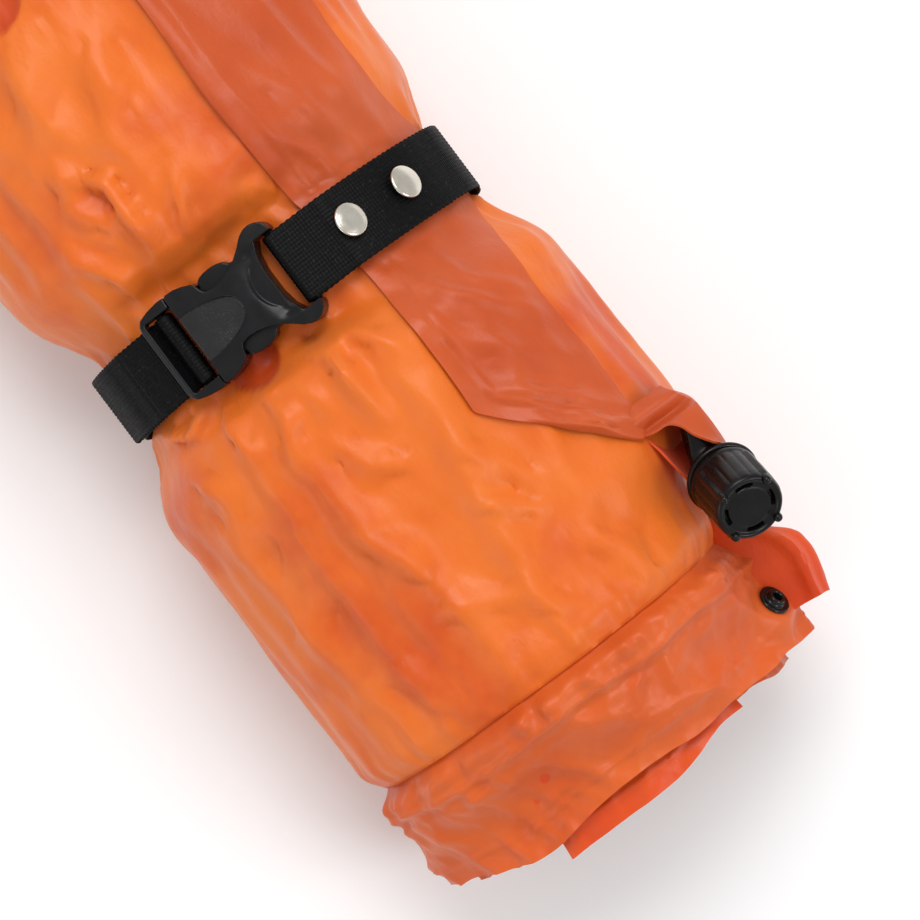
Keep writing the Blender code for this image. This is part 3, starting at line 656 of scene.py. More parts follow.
def crinkles(x, y, z, size, height, seed):
    """Sharp little folds, as in crumpled film."""
    field = np.zeros(np.shape(x))
    for octave, (scale, share) in enumerate(((1.0, 0.66), (0.45, 0.26), (0.2, 0.08))):
        value = noise_field(x * 0.8, y, z, size * scale, seed + octave)
        field += share * (1 - 2.2 * abs(value))
    return height * field


# ---- the welded edge band ----

BAND_START, BAND_STOP = FAR_END, 108 * MM
BAND_RIGHT = 61 * MM
MITRE_START = 70 * MM
BAND_FOLDS = [
    ([(-146, 30), (-86, 44), (-26, 50)], 2.4, 0.9),
    ([(-66, 26), (-42, 36), (-18, 42)], 3.0, 0.8),
    ([(-36, 22), (-24, 30), (-12, 33)], 2.0, 0.7),
    ([(20, 28), (36, 38), (56, 56)], 2.2, 1.0),
    ([(19, 40), (34, 44), (50, 58)], 1.8, 0.8),
    ([(32, 22), (52, 34), (76, 58)], 3.0, 0.8),
    ([(64, 26), (80, 44), (96, 58)], 2.2, 0.9),
    ([(88, 44), (96, 50), (104, 60)], 1.6, 1.2),
]


def band_left(x):
    """The band's free edge: along the roll, and then on the mitre towards the valve."""
    slope = (57 - 22) / (BAND_STOP - MITRE_START)
    return (14 + 8 * ramp(-60 * MM, 50 * MM, x) + np.maximum(x - MITRE_START, 0) * slope) * MM


def build_band():
    xs = np.linspace(BAND_START, BAND_STOP, 260)
    x, u = np.meshgrid(xs, np.linspace(0, 1, 44), indexing="ij")
    left = band_left(x)
    left = left + 0.5 * MM * np.sin(x / (21 * MM)) + 0.3 * MM * np.sin(x / (8 * MM))
    y = left + u * (BAND_RIGHT - left)
    angle = angle_at(x, y)
    from_edge = y - left
    rest = panel_lift_at(x, angle)
    rest = np.where(abs(x) > PAD_END, 0, rest)
    rest = np.maximum(blurred(rest, 12, False), rest)
    lift = blurred(rest, 3, False) + 1.0 * MM
    tucked = ramp(0.75, 1.0, u) * (1 - ramp(60 * MM, 80 * MM, x))
    lift -= 0.7 * MM * tucked
    point = roll_surface(x, angle)
    relief = 0.7 * MM * noise_field(x, y, point[..., 2], 34 * MM, 21)
    for points, half_width, height in BAND_FOLDS:
        relief += fold_field(x / MM, y / MM, points, half_width, 1.5 * height) * MM
    relief += 0.5 * MM * bell(from_edge - 7.5 * MM, 0.9 * MM)
    relief -= 0.25 * MM * bell(from_edge - 5.5 * MM, 1.0 * MM)
    free = ramp(72 * MM, 100 * MM, x) * (1 - u) ** 2
    relief += free * (3.2 * MM + 2.2 * MM * np.sin(x / (4.6 * MM)))
    strap = 1 - ramp(WEB_HALF, WEB_HALF + 4 * MM, abs(x))
    relief = np.maximum(relief, -0.6 * MM) * (1 - strap)
    lift += relief * ramp(0, 2 * MM, u * 44 * MM + 0.4 * MM)
    lift = np.where(strap > 0, lift * (1 - strap) + 1.5 * MM * strap, lift)
    outer = roll_surface(x, angle, lift + FILM)
    inner = roll_surface(x, angle, lift)
    band = closed_sheet("edge_band_fabric", outer, inner, looks["band"])
    hand_over(band, "bag", "band", "edge_band")


build_band()


# ---- welded margins at the two ends ----


MARGIN_STEP = 1 * MM


def flat_at_stud(grid, level):
    """The sheet pulled flat under the stud's flange."""
    out = np.array(STUD_OUT)
    away = grid - np.array(STUD)
    height = away @ out
    radius = np.linalg.norm(away - height[..., None] * out, axis=-1)
    held = (1 - ramp(5.6 * MM, 13 * MM, radius)) * (abs(height) < 18 * MM)
    return grid - (held * (height - level))[..., None] * out


def noise_around(angle, scale, seed):
    """Noise that changes round the roll only."""
    return noise_field(np.cos(angle) * 0.07, np.sin(angle) * 0.07, angle * 0, scale, seed)


def build_margin(name, side, angles, inset, reach, crinkle, seed, look, nodes):
    """One turn of the un-padded margin: from inside the pad's end out to its own cut edge."""
    first, last = angles
    columns = round(abs(last - first) * 62 * MM / MARGIN_STEP)
    u, angle = np.meshgrid(np.linspace(0, 1, 56), np.linspace(first, last, columns), indexing="ij")
    start = PAD_END - 3 * MM
    wave = noise_around(angle, 26 * MM, seed + 40)
    stop = reach(angle) + 1.6 * MM * wave
    x = start + u * (stop - start)
    from_seam = x - PAD_END
    point = roll_surface(side * x, angle)
    folds = crinkles(side * x, point[..., 1], point[..., 2], 29 * MM, 1.25 * crinkle, seed)
    uneven = ramp(-0.5, 0.7, noise_around(angle, 19 * MM, seed + 60))
    gathers = np.cos(angle * 31 + 4.0 * np.sin(angle * 3.0))
    gathers += 0.5 * np.cos(angle * 53 + 2.0 * np.sin(angle * 4.0))
    folds += (0.12 + 0.55 * uneven) * crinkle * gathers * bell(from_seam - 5.5 * MM, 4.5 * MM)
    creases = np.cos(angle * 9 + from_seam / (8 * MM) + 3.0 * np.sin(angle * 3 + seed))
    folds += 0.55 * crinkle * (0.5 - abs(creases)) * ramp(8 * MM, 16 * MM, from_seam)
    shown = ramp(0, 5 * MM, from_seam)
    lift = -inset - (4.6 * MM) * (1 - ramp(-1 * MM, 7 * MM, from_seam))
    lift = lift + folds * (0.15 + 0.85 * shown)
    lift += 1.3 * MM * bell(from_seam - 11 * MM - 1.5 * MM * wave, 1.3 * MM)
    lift -= 0.8 * MM * bell(from_seam - 14 * MM - 1.5 * MM * wave, 1.6 * MM)
    if name == "valve_end_margin":
        lift += 3.2 * MM * bell(angle - deg(14), 0.42) * ramp(6 * MM, 22 * MM, from_seam)
    hem = stop - 8 * MM - 2 * MM * wave
    lift += 0.6 * MM * bell(x - hem, 0.8 * MM)
    outer = roll_surface(side * x, angle, lift)
    inner = roll_surface(side * x, angle, lift - FILM)
    outer[..., 2] = np.maximum(outer[..., 2], 1.2 * MM)
    inner[..., 2] = np.maximum(inner[..., 2], 0.4 * MM)
    if name == "valve_end_margin":
        outer = flat_at_stud(outer, 0.3 * MM)
        inner = flat_at_stud(inner, -0.5 * MM)
    made = closed_sheet(name, outer, inner, looks[look])
    hand_over(made, "bag", "tab" if look == "tab" else "band", *nodes)


def valve_edge(angle):
    """How far the outer margin reaches at the valve end."""
    return FLANGE_END + (-2 + 3 * bell(angle - deg(124), 0.22) - 1.5 * bell(angle - deg(178), 0.4)) * MM


def valve_step(angle):
    """The next turn's cut edge, which sticks out past the outer one over the roll's top."""
    return FLANGE_END + (1 + 7 * ramp(deg(58), deg(88), angle)) * MM


def plain_edge(distance):
    return lambda angle: PAD_END + distance + 1.5 * MM * np.cos(angle * 3)


def margins(end, side, turns):
    """The turns of one end's margin, from the outermost in."""
    for name, first, last, inset, edge, crinkle, seed, look, nodes in turns:
        name = f"{end}_end_{name}"
        angles = (deg(first), deg(last))
        build_margin(name, side, angles, inset * MM, edge, crinkle * MM, seed, look, nodes)


# the "margin" look is the band's fabric with painted light: set lighter against the shade on the end
# margins
margins("valve", 1, [
    ("margin", -78, 278, 0.8, valve_edge, 2.7, 50, "margin", ["valve_end_flange"]),
    ("step", 55, 122, 6.0, valve_step, 1.6, 61, "tab", []),
    ("turn_1", 62, 418, 9.5, plain_edge(45 * MM), 1.8, 72, "margin", ["valve_end_inner_flange"]),
    ("turn_2", 40, 400, 21, plain_edge(38 * MM), 1.6, 83, "lining", []),
    ("turn_3", 40, 400, 31, plain_edge(34 * MM), 1.4, 94, "lining", []),
])
margins("far", -1, [
    ("margin", -78, 278, 0.8, plain_edge(43 * MM), 2.7, 105, "margin", ["far_end_flange"]),
    ("step", 60, 130, 6.5, plain_edge(48 * MM), 1.6, 116, "tab", []),
    ("turn_1", 62, 418, 12, plain_edge(42 * MM), 1.8, 127, "margin", ["far_end_inner_flange"]),
    ("turn_2", 40, 400, 23, plain_edge(37 * MM), 1.6, 138, "lining", []),
    ("turn_3", 40, 400, 32, plain_edge(33 * MM), 1.4, 149, "lining", []),
])


# ---- the loose corner with the valve ----


def hanging_sheet(name, top, drop, look, seed, crinkle, nodes=()):
    """A sheet from a top edge of (x, y, z) points down along drop(point, v), in roll millimetres."""
    shares = np.linspace(0, 1, 34)
    grid = np.array([[drop(point, v) for v in shares] for point in catmull(top, 60)]) * MM
    grid[..., 1] += ROLL_Y
    folds = crinkles(grid[..., 0], grid[..., 1], grid[..., 2], 24 * MM, crinkle, seed)
    grid[..., 1] += folds * (0.3 + 0.7 * shares[None])
    normal = np.cross(np.gradient(grid, axis=0), np.gradient(grid, axis=1))
    normal /= np.linalg.norm(normal, axis=-1, keepdims=True)
    made = closed_sheet(name, grid + normal * FILM / 2, grid - normal * FILM / 2, looks[look])
    hand_over(made, "bag", look, *nodes)


def catmull(points, count):
    """A smooth line through the points, evenly sampled in its parameter."""
    p = [np.array(q, float) for q in points]
    p = [2 * p[0] - p[1], *p, 2 * p[-1] - p[-2]]
    spans = len(p) - 3
    out = []
    for k in range(count):
        s = k / (count - 1) * spans
        i = min(int(s), spans - 1)
        t = s - i
        a, b, c, d = p[i : i + 4]
        curve = 2 * b + (c - a) * t + (2 * a - 5 * b + 4 * c - d) * t * t
        out.append(0.5 * (curve + (3 * b - a - 3 * c + d) * t**3))
    return out


LIP_BOTTOM = 44.0


def outer_lip(point, v):
    """Over a tight fold at the top and straight down in front of the valve's foot."""
    x, y, z = point
    side = 74.0 + 5.6 * ramp(97, 108, x)
    out = (side - y) * ramp(0, 0.10, v) + 0.6 * math.sin(v * 5)
    return (x + 3 * v, y + out, z + (LIP_BOTTOM - z) * v)


def inner_lip(point, v):
    """Down behind the valve's foot."""
    x, y, z = point
    return (x + v, y + 8.5 * ramp(0, 0.8, v), z - 30 * v)


def tab_drop(point, v):
    """The leaf of the corner: out from under the stud's sheet, over a soft fold, then down."""
    x, y, z = point
    width = 12 + 14 * ramp(143, 162, x) - 6.0 * ramp(166, 186, x)
    fold = 3.0 * math.exp(-(((v - 0.62) / 0.06) ** 2)) * ramp(150, 160, x)
    rise = 6 * v + fold - 22 * max(0.0, v - 0.7)
    return (x + 3.5 * v, y + width * ramp(0, 0.9, v) + fold * 0.4, z + rise)


hanging_sheet(
    "corner_outer_skin",
    [(98, 56, 98), (102, 57.5, 101), (106.5, 58, 98), (108.5, 63, 100), (109, 68, 102), (112, 71, 103),
     (117, 73, 102), (121.5, 76, 99), (126, 79.3, 92), (133, 79.6, 84), (142, 79, 70)],
    outer_lip, "band", 160, 0.7 * MM, ["corner_tab"],
)
hanging_sheet(
    "corner_inner_skin",
    [(107, 60, 96), (114, 61.5, 96), (122, 62.5, 93.5), (130, 64.5, 88), (137, 68, 80)],
    inner_lip, "tab", 170, 0.6 * MM,
)
hanging_sheet(
    "corner_tab_skin",
    [(140, 54, 66), (150, 56, 66), (160, 57, 66), (171, 58, 64), (181.5, 59, 62)],
    tab_drop, "tab", 180, 0.8 * MM,
)


# ---- webbing strap ----


def groove_point(angle, lift):
    """A (y, z) point at a height over the strap's groove."""
    return roll_surface(GROOVE, angle, lift)[1:]


def section_path(start, end, lift_start, lift_end, steps):
    angles = spread(deg(start), deg(end), steps)
    return [groove_point(a, h) for a, h in zip(angles, spread(lift_start, lift_end, steps))]


def in_buckle(y, z):
    point = BUCKLE + ALONG * y + UP * z
    return np.array([point.y, point.z])


def bar_wrap(bar, start, end, steps):
    return [
        in_buckle(bar[0] + BAR_WRAP * math.cos(a), bar[1] + BAR_WRAP * math.sin(a))
        for a in spread(deg(start), deg(end), steps)
    ]


def strap_main_path():
    path = section_path(36, 76, UNDER_LIFT, UNDER_LIFT, 10)
    path += bar_wrap(SOCKET_BAR, -90, -270, 8)
    path += section_path(76, 36, TOP_LIFT, TOP_LIFT, 10)
    path += section_path(30, 24, TOP_LIFT, TOP_LIFT - 0.6 * MM, 1)
    path += section_path(18, 8, TOP_LIFT - 1.8 * MM, LOAD_LIFT, 2)
    path += section_path(0, -180, LOAD_LIFT, LOAD_LIFT, 22)
    return path


def strap_lead_path():
    path = section_path(180, 134, LOAD_LIFT, LOAD_LIFT, 6)
    path += [in_buckle(-9.5 * MM, -4.8 * MM), in_buckle(-7 * MM, -3.9 * MM)]
    path += bar_wrap(PLUG_BAR, -90, 198, 10)
    path += [in_buckle(-9.2 * MM, -2.2 * MM), in_buckle(-12 * MM, -2.65 * MM)]
    path += section_path(131, 137, TAIL_LIFT, TAIL_LIFT + 0.6 * MM, 1)
    path += section_path(142, 166, HEM_LIFT, HEM_LIFT, 4)
    path += [groove_point(deg(167.2), (HEM_LIFT + TAIL_LIFT) / 2)]
    path += section_path(166, 144, TAIL_LIFT, TAIL_LIFT, 4)
    return path


THREAD = 1.25 * MM
PICK = 1.10 * MM
WEAVE_HEIGHT = 0.42 * MM
WEAVE_STEP = 0.36 * MM


def even_line(points, step):
    """The smooth line through (y, z) points, sampled evenly along its length."""
    fine = np.array(catmull(points, 40 * len(points)))
    lengths = np.concatenate([[0], np.cumsum(np.linalg.norm(np.diff(fine, axis=0), axis=1))])
    count = round(lengths[-1] / step)
    where = np.linspace(0, lengths[-1], count + 1)
    return np.stack([np.interp(where, lengths, fine[:, k]) for k in range(2)], -1), where


def webbing(name, path, stitched=()):
    """Woven webbing swept along a path: two crossed sets of threads and a bound edge."""
    line, along = even_line(path, WEAVE_STEP)
    tangent = np.gradient(line, axis=0)
    tangent /= np.linalg.norm(tangent, axis=1, keepdims=True)
    side = np.stack([-tangent[:, 1], tangent[:, 0]], -1)
    across = np.linspace(-1, 1, round(2 * WEB_HALF / WEAVE_STEP) + 1)
    s, u = np.meshgrid(along, across, indexing="ij")
    cell = abs(np.sin(np.pi * (u * WEB_HALF) / THREAD) * np.sin(np.pi * s / PICK))
    height = WEAVE_HEIGHT * (cell**0.45 - 0.75)
    bound = ramp(0.89, 0.93, abs(u))
    ribs = 0.5 * WEAVE_HEIGHT * abs(np.sin(np.pi * s / PICK)) ** 0.7
    height = height * (1 - bound) + (ribs - 0.3 * WEAVE_HEIGHT) * bound
    for place in stitched:
        row = bell(s - place * along[-1], 0.55 * MM) * (1 - bound)
        stitches = 0.35 * MM * bell((u * WEB_HALF) % (2.2 * MM) - 1.1 * MM, 0.8 * MM)
        height = height - row * 0.45 * MM + row * stitches
    rounding = np.sqrt(np.clip(1 - abs(u) ** 26, 0, 1))
    half = (WEB_THICK / 2 - 0.12 * MM) * rounding
    width = u * (WEB_HALF - 0.1 * MM) + 0.12 * MM * np.sin(s / PICK * np.pi) * bound * np.sign(u)

    def face(sign):
        offset = sign * (half + height * rounding)
        y = line[:, 0, None] + side[:, 0, None] * offset
        z = line[:, 1, None] + side[:, 1, None] * offset
        return np.stack([width, y, z], -1)

    made = closed_sheet(name, face(1), face(-1), looks["webbing"])
    made.data.set_sharp_from_angle(angle=deg(100))
    return made, float(along[-1])


def build_strap():
    main, main_length = webbing("strap_main_webbing", strap_main_path())
    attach(main, "bag")
    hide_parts("strap_main")
    lead, lead_length = webbing("strap_lead_webbing", strap_lead_path(), stitched=(0.63,))
    start = groove_point(deg(178), LOAD_LIFT)
    end = groove_point(deg(140), LOAD_LIFT)
    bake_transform(lead)
    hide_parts("strap_lead")


# ---- moulded parts ----


def turned(profile, step, segments):
    """Rings of points: a (radius, height) line in millimetres, eased and turned about z."""
    line = []
    corners = [np.array(point, float) * MM for point in profile]
    for a, b in zip(corners, corners[1:]):
        count = max(1, round(float(np.linalg.norm(b - a)) / step))
        line += [a + (b - a) * k / count for k in range(count)]
    line = np.array([*line, corners[-1]])
    for _ in range(3):
        line[1:-1] = (line[:-2] + 2 * line[1:-1] + line[2:]) / 4
    radius, height = line[:, :1], line[:, 1:]
    angles = np.arange(segments) * TAU / segments
    return np.stack([radius * np.cos(angles), radius * np.sin(angles), height + 0 * angles[None]], -1)


def ring_object(name, grid, look, matrix, closed=False):
    """A turned shape from its grid of rings; closed joins the last ring to the first."""
    rows, columns = grid.shape[:2]
    points = grid.reshape(-1, 3)
    faces = [tuple(f) for f in grid_faces(rows, columns, True)]
    last = (rows - 1) * columns
    if closed:
        for j in range(columns):
            n = (j + 1) % columns
            faces.append((last + j, last + n, n, j))
    else:
        faces.append(tuple(range(columns))[::-1])
        faces.append(tuple(range(last, last + columns)))
    made = mesh_object(name, points, faces, look)
    made.data.transform(matrix)
    return face_outward(made, 50)


def facing(place, out):
    """A frame at a place with its z along the direction out."""
    return Matrix.Translation(place) @ out.to_track_quat("Z", "Y").to_matrix().to_4x4()


def build_rivets():
    """Domed caps with a rolled rim, where the CAD's caps are."""
    profile = [(2.0, -1.6), (5.0, -1.5), (5.5, -1.2), (5.72, -0.7), (5.6, -0.25), (5.2, 0.0)]
    profile += [(4.8, 0.06), (4.2, 0.28), (3.2, 0.55), (2.0, 0.74), (1.0, 0.82), (0.02, 0.84)]
    rings = turned(profile, 0.25 * MM, 72)
    for k in (1, 2):
        cap_middle, back_middle = middle(f"rivet_cap_{k}"), middle(f"rivet_back_{k}")
        out = (cap_middle - back_middle).normalized()
        matrix = facing(cap_middle + out * 1.9 * MM, out)
        cap = ring_object(f"rivet_dome_{k}", rings, looks["nickel"], matrix)
        hand_over(cap, "bag", "nickel", f"rivet_cap_{k}")


def solid_object(name, bm):
    mesh = bpy.data.meshes.new(name)
    bm.to_mesh(mesh)
    bm.free()
    return linked(name, mesh)


def mirrored(points):
    """An outline from its right half, of (x, y) points that run from low y to high."""
    return points + [(-x, y) for x, y in reversed(points)]


def prism(name, outline, low, high):
    """A temporary solid from an outline of (x, y) and two heights, in millimetres."""
    bm = bmesh.new()
    face = bm.faces.new([bm.verts.new((x * MM, y * MM, low * MM)) for x, y in outline])
    made = bmesh.ops.extrude_face_region(bm, geom=[face])
    moved = [v for v in made["geom"] if isinstance(v, bmesh.types.BMVert)]
    bmesh.ops.translate(bm, vec=(0, 0, (high - low) * MM), verts=moved)
    bmesh.ops.recalc_face_normals(bm, faces=bm.faces)
    return solid_object(name, bm)


def bar_solid(name, y, z, radius, half):
    bm = bmesh.new()
    bmesh.ops.create_cone(bm, cap_ends=True, segments=24, radius1=radius, radius2=radius, depth=2 * half)
    matrix = Matrix.Translation((0, y, z)) @ Matrix.Rotation(math.pi / 2, 4, "Y")
    bmesh.ops.transform(bm, matrix=matrix, verts=bm.verts)
    return solid_object(name, bm)


def moulded(name, base, steps, shape, voxel=0.34 * MM, smooth=4):
    """A buckle part: the base with other solids joined or cut, remeshed, softened and shaped."""
    for kind, other in steps:
        modifier = base.modifiers.new(kind, "BOOLEAN")
        modifier.operation = kind
        modifier.object = other
        modifier.solver = "EXACT"
    remesh = base.modifiers.new("Remesh", "REMESH")
    remesh.mode = "VOXEL"
    remesh.voxel_size = voxel
    soften = base.modifiers.new("Smooth", "SMOOTH")
    soften.factor = 0.5
    soften.iterations = smooth
    bpy.context.view_layer.update()
    depsgraph = bpy.context.evaluated_depsgraph_get()
    mesh = bpy.data.meshes.new_from_object(base.evaluated_get(depsgraph))
    for _, other in steps:
        bpy.data.objects.remove(other)
    bpy.data.objects.remove(base)
    mesh.name = name
    points = np.empty(len(mesh.vertices) * 3)
    mesh.vertices.foreach_get("co", points)
    mesh.vertices.foreach_set("co", shape(points.reshape(-1, 3)).ravel())
    mesh.transform(BUCKLE_FRAME)
    mesh.materials.clear()
    mesh.materials.append(looks["buckle"])
    mesh.shade_smooth()
    return linked(name, mesh)


# ---- buckle ----

SOCKET_HALF_THICK = 5.5
SOCKET_OUTLINE = [
    (8, 0.0), (16.0, 0), (16.7, 0.8), (16.5, 4), (15.6, 7), (14.4, 9.6), (13.2, 10.6), (11.4, 11.0),
    (10.0, 11.9), (9.4, 14.2), (9.6, 17.5), (10.5, 21), (12.0, 24.6), (14.4, 28), (16.8, 30.8),
    (18.0, 33.2), (18.2, 35.4), (17.5, 37.6), (16.2, 39.1), (14.6, 39.8),
]
SCOOP = [(8.9, -0.3), (8.9, 1.2), (8.4, 6), (7.6, 10), (6.5, 13.6), (5.2, 16.4), (3.6, 18.2), (1.8, 18.9)]


def scoop_depth(x, y):
    """Depth of the tongue-shaped thumb scoop: deep at its round tip, running out at the mouth."""
    edge = np.interp(y, [p[1] for p in SCOOP], [p[0] for p in SCOOP], right=0.0)
    inside = ramp(0.0, 0.7, edge - abs(x)) * (y < 18.9)
    return inside * (0.75 + 0.65 * ramp(4, 17, y) - 0.45 * (x / 9) ** 2)


def socket_shape(points):
    """Crowned top and underside, the scoops, and the crescent recess before the webbing slot."""
    x, y, z = points.T / MM
    crown = 1 - 0.30 * (x / 17) ** 2 - 0.28 * ramp(30, 40, y) - 0.12 * ramp(6, 0, y)
    outer = np.maximum(abs(z) - 3.3, 0)
    z = np.sign(z) * (np.minimum(abs(z), 3.3) + outer * np.clip(crown, 0.2, 1))
    high = ramp(3.6, 4.6, abs(z))
    z = z - np.sign(z) * high * scoop_depth(x, y)
    crescent = ramp(11.6, 10.6, np.hypot(x, y - 35.5)) * ramp(31.8, 30.6, y)
    crescent = np.maximum(crescent, bell(y - (28.0 + 0.02 * x * x), 3.2) * ramp(13.5, 10, abs(x)))
    z = z - np.sign(z) * high * crescent * 1.5
    return np.stack([x, y, z], -1) * MM


def build_socket():
    half = SOCKET_HALF_THICK
    base = prism("socket", mirrored(SOCKET_OUTLINE), -half, half)
    cavity = prism("cavity", mirrored([(13.2, -2), (13.2, 27)]), -3.3, 3.3)
    slot = prism("slot", mirrored([(4, 31.0), (9, 31.8), (13.2, 33.8), (13.2, 45)]), -7, 7)
    bar = bar_solid("bar", SOCKET_BAR[0], SOCKET_BAR[1], 1.75 * MM, 15 * MM)
    steps = [("DIFFERENCE", cavity), ("DIFFERENCE", slot), ("UNION", bar)]
    socket = moulded("buckle_socket_moulding", base, steps, socket_shape)
    scoop_faces(socket)
    hand_over(socket, "bag", "buckle", "buckle_socket")


def scoop_faces(socket):
    """The floor of the scoop takes the coarse, glossier grain."""
    mesh = socket.data
    mesh.materials.append(looks["buckle_grain"])
    back = BUCKLE_FRAME.inverted()
    for face in mesh.polygons:
        x, y, z = back @ face.center / MM
        if z > 0 and scoop_depth(np.array(abs(x) + 0.25), np.array(y)) > 0.3:
            face.material_index = 1


def plug_shape(points):
    """Rounded rails: thinner towards the strap and at the arms' outer faces."""
    x, y, z = points.T / MM
    crown = 1 - 0.22 * ramp(12, 17, abs(x)) - 0.15 * ramp(-10.5, -12.6, y)
    return np.stack([x, y, z * crown], -1) * MM


def build_plug():
    outline = [(11.5, -12.4), (13.6, -12.0), (15.2, -10.6), (16.2, -7.4), (16.8, -3), (16.7, -0.4)]
    base = prism("plug", mirrored(outline), -4.4, 4.4)
    window = prism("window", mirrored([(13.2, -10.2), (13.2, 4)]), -6, 6)
    under = prism("under_rail", mirrored([(13.2, -15), (13.2, -9)]), -6, -1.4)
    yoke = [(14.6, -2.2), (14.6, -0.6), (12.8, -0.6), (12.8, 3.1), (2.6, 3.1), (2.6, 21), (1.4, 24)]
    stem = prism("stem", mirrored(yoke), -2.4, 2.4)
    opening = [(12.6, -3), (12.6, -1.0), (12.0, -0.6), (2.0, 0.6)]
    hole = prism("stem_window", mirrored(opening), -5, 5)
    cut = stem.modifiers.new("cut", "BOOLEAN")
    cut.operation = "DIFFERENCE"
    cut.object = hole
    cut.solver = "EXACT"
    bar = bar_solid("bar", PLUG_BAR[0], PLUG_BAR[1], 1.6 * MM, 14.6 * MM)
    steps = [("DIFFERENCE", window), ("DIFFERENCE", under), ("UNION", stem), ("UNION", bar)]
    plug = moulded("buckle_plug_moulding", base, steps, plug_shape)
    bpy.data.objects.remove(hole)
    hand_over(plug, "plug", "buckle", "buckle_plug")


def prong_shape(points):
    """The arm's oval thumb pad, a little thicker than the arm."""
    x, y, z = points.T / MM
    pad = bell(np.hypot(abs(x) - 13.2, (y - 16.6) / 2.4), 2.6)
    return np.stack([x, y, z * (1 + 0.05 * pad)], -1) * MM


def build_prongs():
    """The sprung arms, with an oval thumb pad at the side and a latch at the tip."""
    arm = [(5.2, 6.6), (4.9, 5.2), (5.5, 3.9), (6.5, 3.55), (7.5, 3.9), (8.6, 5.6), (10.4, 9.4)]
    arm += [(12.2, 10.9), (13.7, 11.2), (14.6, 12.4), (15.1, 14.6), (15.2, 17.0), (14.9, 19.4)]
    arm += [(14.2, 21.5), (12.6, 22.8), (12.4, 24.6), (11.8, 25.8), (10.9, 26.0), (10.2, 25.2)]
    arm += [(9.5, 20), (8.4, 11.8)]
    for side, name in ((1, "right"), (-1, "left")):
        base = prism("arm", [(side * x, y) for x, y in arm], -2.9, 2.9)
        prong = moulded(f"prong_{name}_moulding", base, [], prong_shape, 0.30 * MM, 3)
        hand_over(prong, f"prong_{name}", "buckle", f"plug_prong_{name}")


# ---- valve ----

CAP_RADIUS, CAP_TOP = 11.7 * MM, 21 * MM
GRIP_TURN = deg(31)


def build_valve_cap():
    """A fluted cap with four grips that end in round nubs, and four arc slots in its face."""
    profile = [(9.9, 17.6), (9.9, 1.4), (10.3, 0.9), (11.3, 0.9), (11.8, 1.5), (11.8, 3.0), (11.5, 3.6)]
    profile += [(11.65, 8.0), (11.5, 17.5), (11.3, 19.4), (10.9, 20.5), (10.3, 21.0), (9.5, 21.0)]
    profile += [(9.15, 20.7), (9.0, 20.3), (6.95, 20.3), (6.8, 20.45), (6.6, 20.5), (0.05, 20.55)]
    grid = turned(profile, 0.28 * MM, 288)
    angle = np.arctan2(grid[..., 1], grid[..., 0])
    radius = np.hypot(grid[..., 0], grid[..., 1])
    height = grid[..., 2]
    outside = ramp(10.5 * MM, 11.1 * MM, radius) * ramp(3.2 * MM, 4.6 * MM, height)
    outside = outside * ramp(20.6 * MM, 18.6 * MM, height)
    flutes = 0.28 * MM * (abs(np.cos((angle - GRIP_TURN) * 10)) ** 0.6 - 0.8)
    from_grip = (angle - GRIP_TURN + TAU / 8) % (TAU / 4) - TAU / 8
    radius = radius + outside * (flutes + 0.75 * MM * bell(from_grip, 0.09))
    face = (radius < 9.9 * MM) & (height > 19 * MM)
    from_slot = (angle - GRIP_TURN) % (TAU / 4) - TAU / 8
    slot = bell(radius - 7.9 * MM, 0.68 * MM) * ramp(0.40, 0.33, abs(from_slot))
    height = height - face * 1.9 * MM * ramp(0.25, 0.75, slot)
    grid = np.stack([radius * np.cos(angle), radius * np.sin(angle), height], -1)
    cap = ring_object("valve_cap_moulding", grid, looks["valve"], VALVE_FRAME)
    hand_over(cap, "cap", "valve", "valve_cap")
    nub = [(0.02, 0.0), (1.2, 0.0), (1.5, 0.4), (1.5, 3.0), (1.3, 3.8), (0.8, 4.3), (0.02, 4.5)]
    rings = turned(nub, 0.15 * MM, 28)
    rim = Matrix.Translation((CAP_RADIUS - 1.3 * MM, 0, CAP_TOP - 2.8 * MM))
    for k in range(4):
        turn = Matrix.Rotation(TAU * k / 4 + GRIP_TURN, 4, "Z")
        name = f"valve_cap_nub_{k + 1}"
        made = ring_object(name, rings, looks["valve"], VALVE_FRAME @ turn @ rim)
        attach(made, "cap")


def build_valve_body():
    """The collar and neck over a boat-shaped foot that is welded between the two skins."""
    profile = [(4.25, -10), (4.25, 13.5), (4.5, 13.8), (8.6, 13.8), (9.2, 13.2), (9.2, 5.1), (8.3, 4.95)]
    profile += [(8.3, 3.15), (9.2, 3.0), (9.2, 0.5), (11.7, 0.35), (12.2, 0.0), (12.3, -0.8)]
    profile += [(12.0, -1.6), (11.2, -2.0), (10.4, -2.6), (9.8, -4.5), (9.6, -12)]
    rings = turned(profile, 0.4 * MM, 96)
    height = rings[..., 2]
    angle = np.arctan2(rings[..., 1], rings[..., 0])
    foot = ramp(-2.6 * MM, -9 * MM, height) * (np.hypot(rings[..., 0], rings[..., 1]) > 5 * MM)
    boat_x = 18.5 * MM * np.cos(angle)
    boat_y = 4.9 * MM * (0.6 * np.sin(angle) + 0.4 * np.sin(angle) ** 3)
    rings[..., 0] = rings[..., 0] * (1 - foot) + boat_x * foot
    rings[..., 1] = rings[..., 1] * (1 - foot) + boat_y * foot
    body = ring_object("valve_body_moulding", rings, looks["valve"], VALVE_FRAME, closed=True)
    hand_over(body, "bag", "valve", "valve_body")


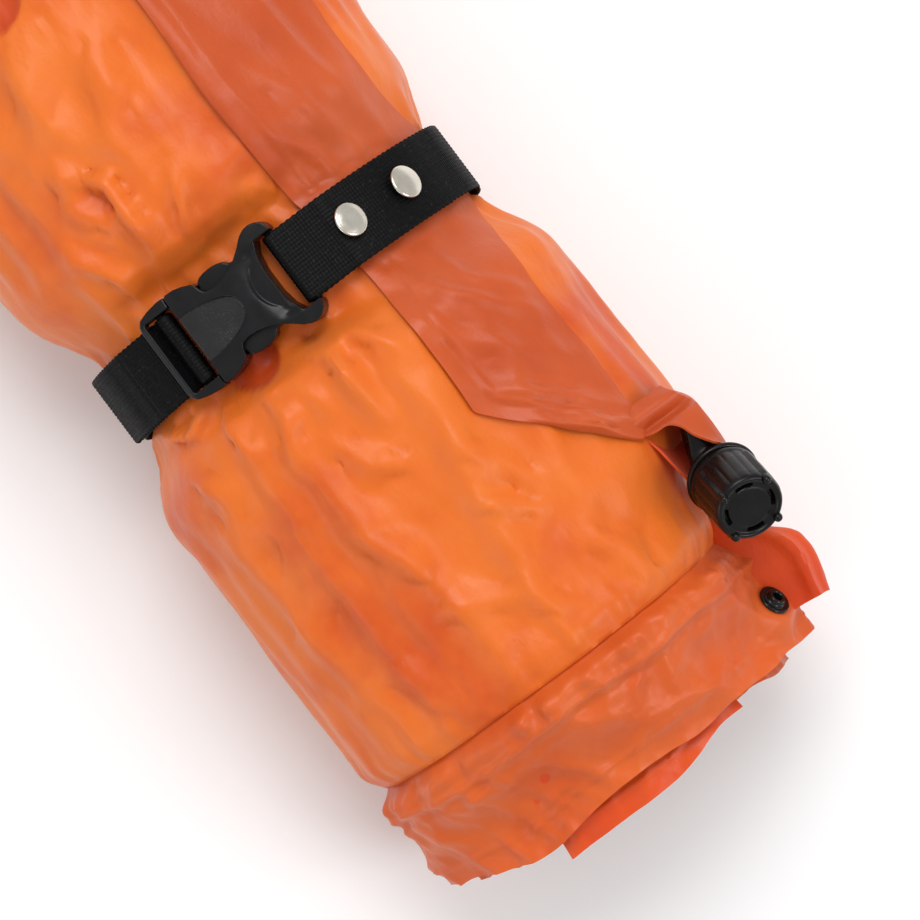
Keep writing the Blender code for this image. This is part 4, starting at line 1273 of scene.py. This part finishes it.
def build_stud():
    """The press stud's flange and raised hollow barrel."""
    profile = [(1.3, -3.4), (2.2, -3.4), (2.2, 0.4), (5.0, 0.5), (5.45, 0.8), (5.45, 1.3), (5.0, 1.6)]
    profile += [(4.3, 1.5), (3.7, 1.5), (3.2, 1.8), (3.0, 2.3), (2.95, 2.9), (2.7, 3.3), (2.2, 3.4)]
    profile += [(1.7, 3.1), (1.5, 2.4)]
    rings = turned(profile, 0.2 * MM, 64)
    matrix = facing(STUD, STUD_OUT)
    stud = ring_object("stud_moulding", rings, looks["stud"], matrix, closed=True)
    hand_over(stud, "bag", "stud", "stud_barrel")


CARRIED = {
    "inner_turns": "foam",
    "core_fold": "foam",
    "rivet_back_1": "nickel",
    "rivet_back_2": "nickel",
    "valve_o_ring": "rubber",
    "valve_seal_disc": "rubber",
    "stud_back_ring": "stud",
}


def dress_carried_nodes():
    for name, look in CARRIED.items():
        node = frame["nodes"][name]
        node.data.materials.clear()
        node.data.materials.append(looks[look])


build_strap()
build_rivets()
build_socket()
build_plug()
build_prongs()
build_valve_cap()
build_valve_body()
build_stud()
dress_carried_nodes()


# ---- stage, light and camera ----

LIT_POINT = Vector((0.05, 0, 0.06))
# looking straight down, the roll's length running from upper left to lower right
CAMERA_TURN = deg(53.13)
CAMERA_HEIGHT = 0.9
FRAME_MIDDLE = (79.1 * MM, 9.8 * MM + ROLL_Y)
FRAME_LEVEL = 0.110
FRAME_WIDTH = 0.284


def build_stage():
    look, tree, shader = new_look("floor_pale")
    tint(tree, shader, noise_node(tree, 3, 2), [(0.3, (0.90,) * 3), (0.7, (0.93,) * 3)])
    shader.inputs["Roughness"].default_value = 0.8
    size = 6.0
    corners = [(-size, -size, 0), (size, -size, 0), (size, size, 0), (-size, size, 0)]
    floor = mesh_object("floor", corners, [(0, 1, 2, 3)], look)


def area_light(name, place, size, power):
    data = bpy.data.lights.new(name, "AREA")
    data.shape = "RECTANGLE"
    data.size, data.size_y = size
    data.energy = power
    made = linked(name, data)
    made.location = place
    made.rotation_euler = (LIT_POINT - Vector(place)).to_track_quat("-Z", "Y").to_euler()


def build_light():
    world = bpy.data.worlds.new("studio")
    world.use_nodes = True
    bpy.context.scene.world = world
    background = world.node_tree.nodes["Background"]
    set_values(background, {"Color": (1.0, 1.0, 1.0, 1), "Strength": 0.60})
    area_light("softbox_top", (-0.62, 0.40, 1.35), (0.8, 0.8), 13)
    area_light("softbox_side", (0.9, 0.7, 1.0), (0.6, 0.4), 5)
    area_light("softbox_low", (0.2, -1.2, 0.7), (0.9, 0.4), 2.5)


def build_camera():
    data = bpy.data.cameras.new("camera")
    data.sensor_width = 36
    data.lens = 36 * CAMERA_HEIGHT / FRAME_WIDTH
    data.clip_start = 0.05
    data.clip_end = 20
    camera = linked("camera", data)
    camera.location = (*FRAME_MIDDLE, FRAME_LEVEL + CAMERA_HEIGHT)
    camera.rotation_euler = (0, 0, CAMERA_TURN)
    bpy.context.scene.camera = camera


build_stage()
build_light()
build_camera()
bpy.context.scene.view_settings.view_transform = "Standard"
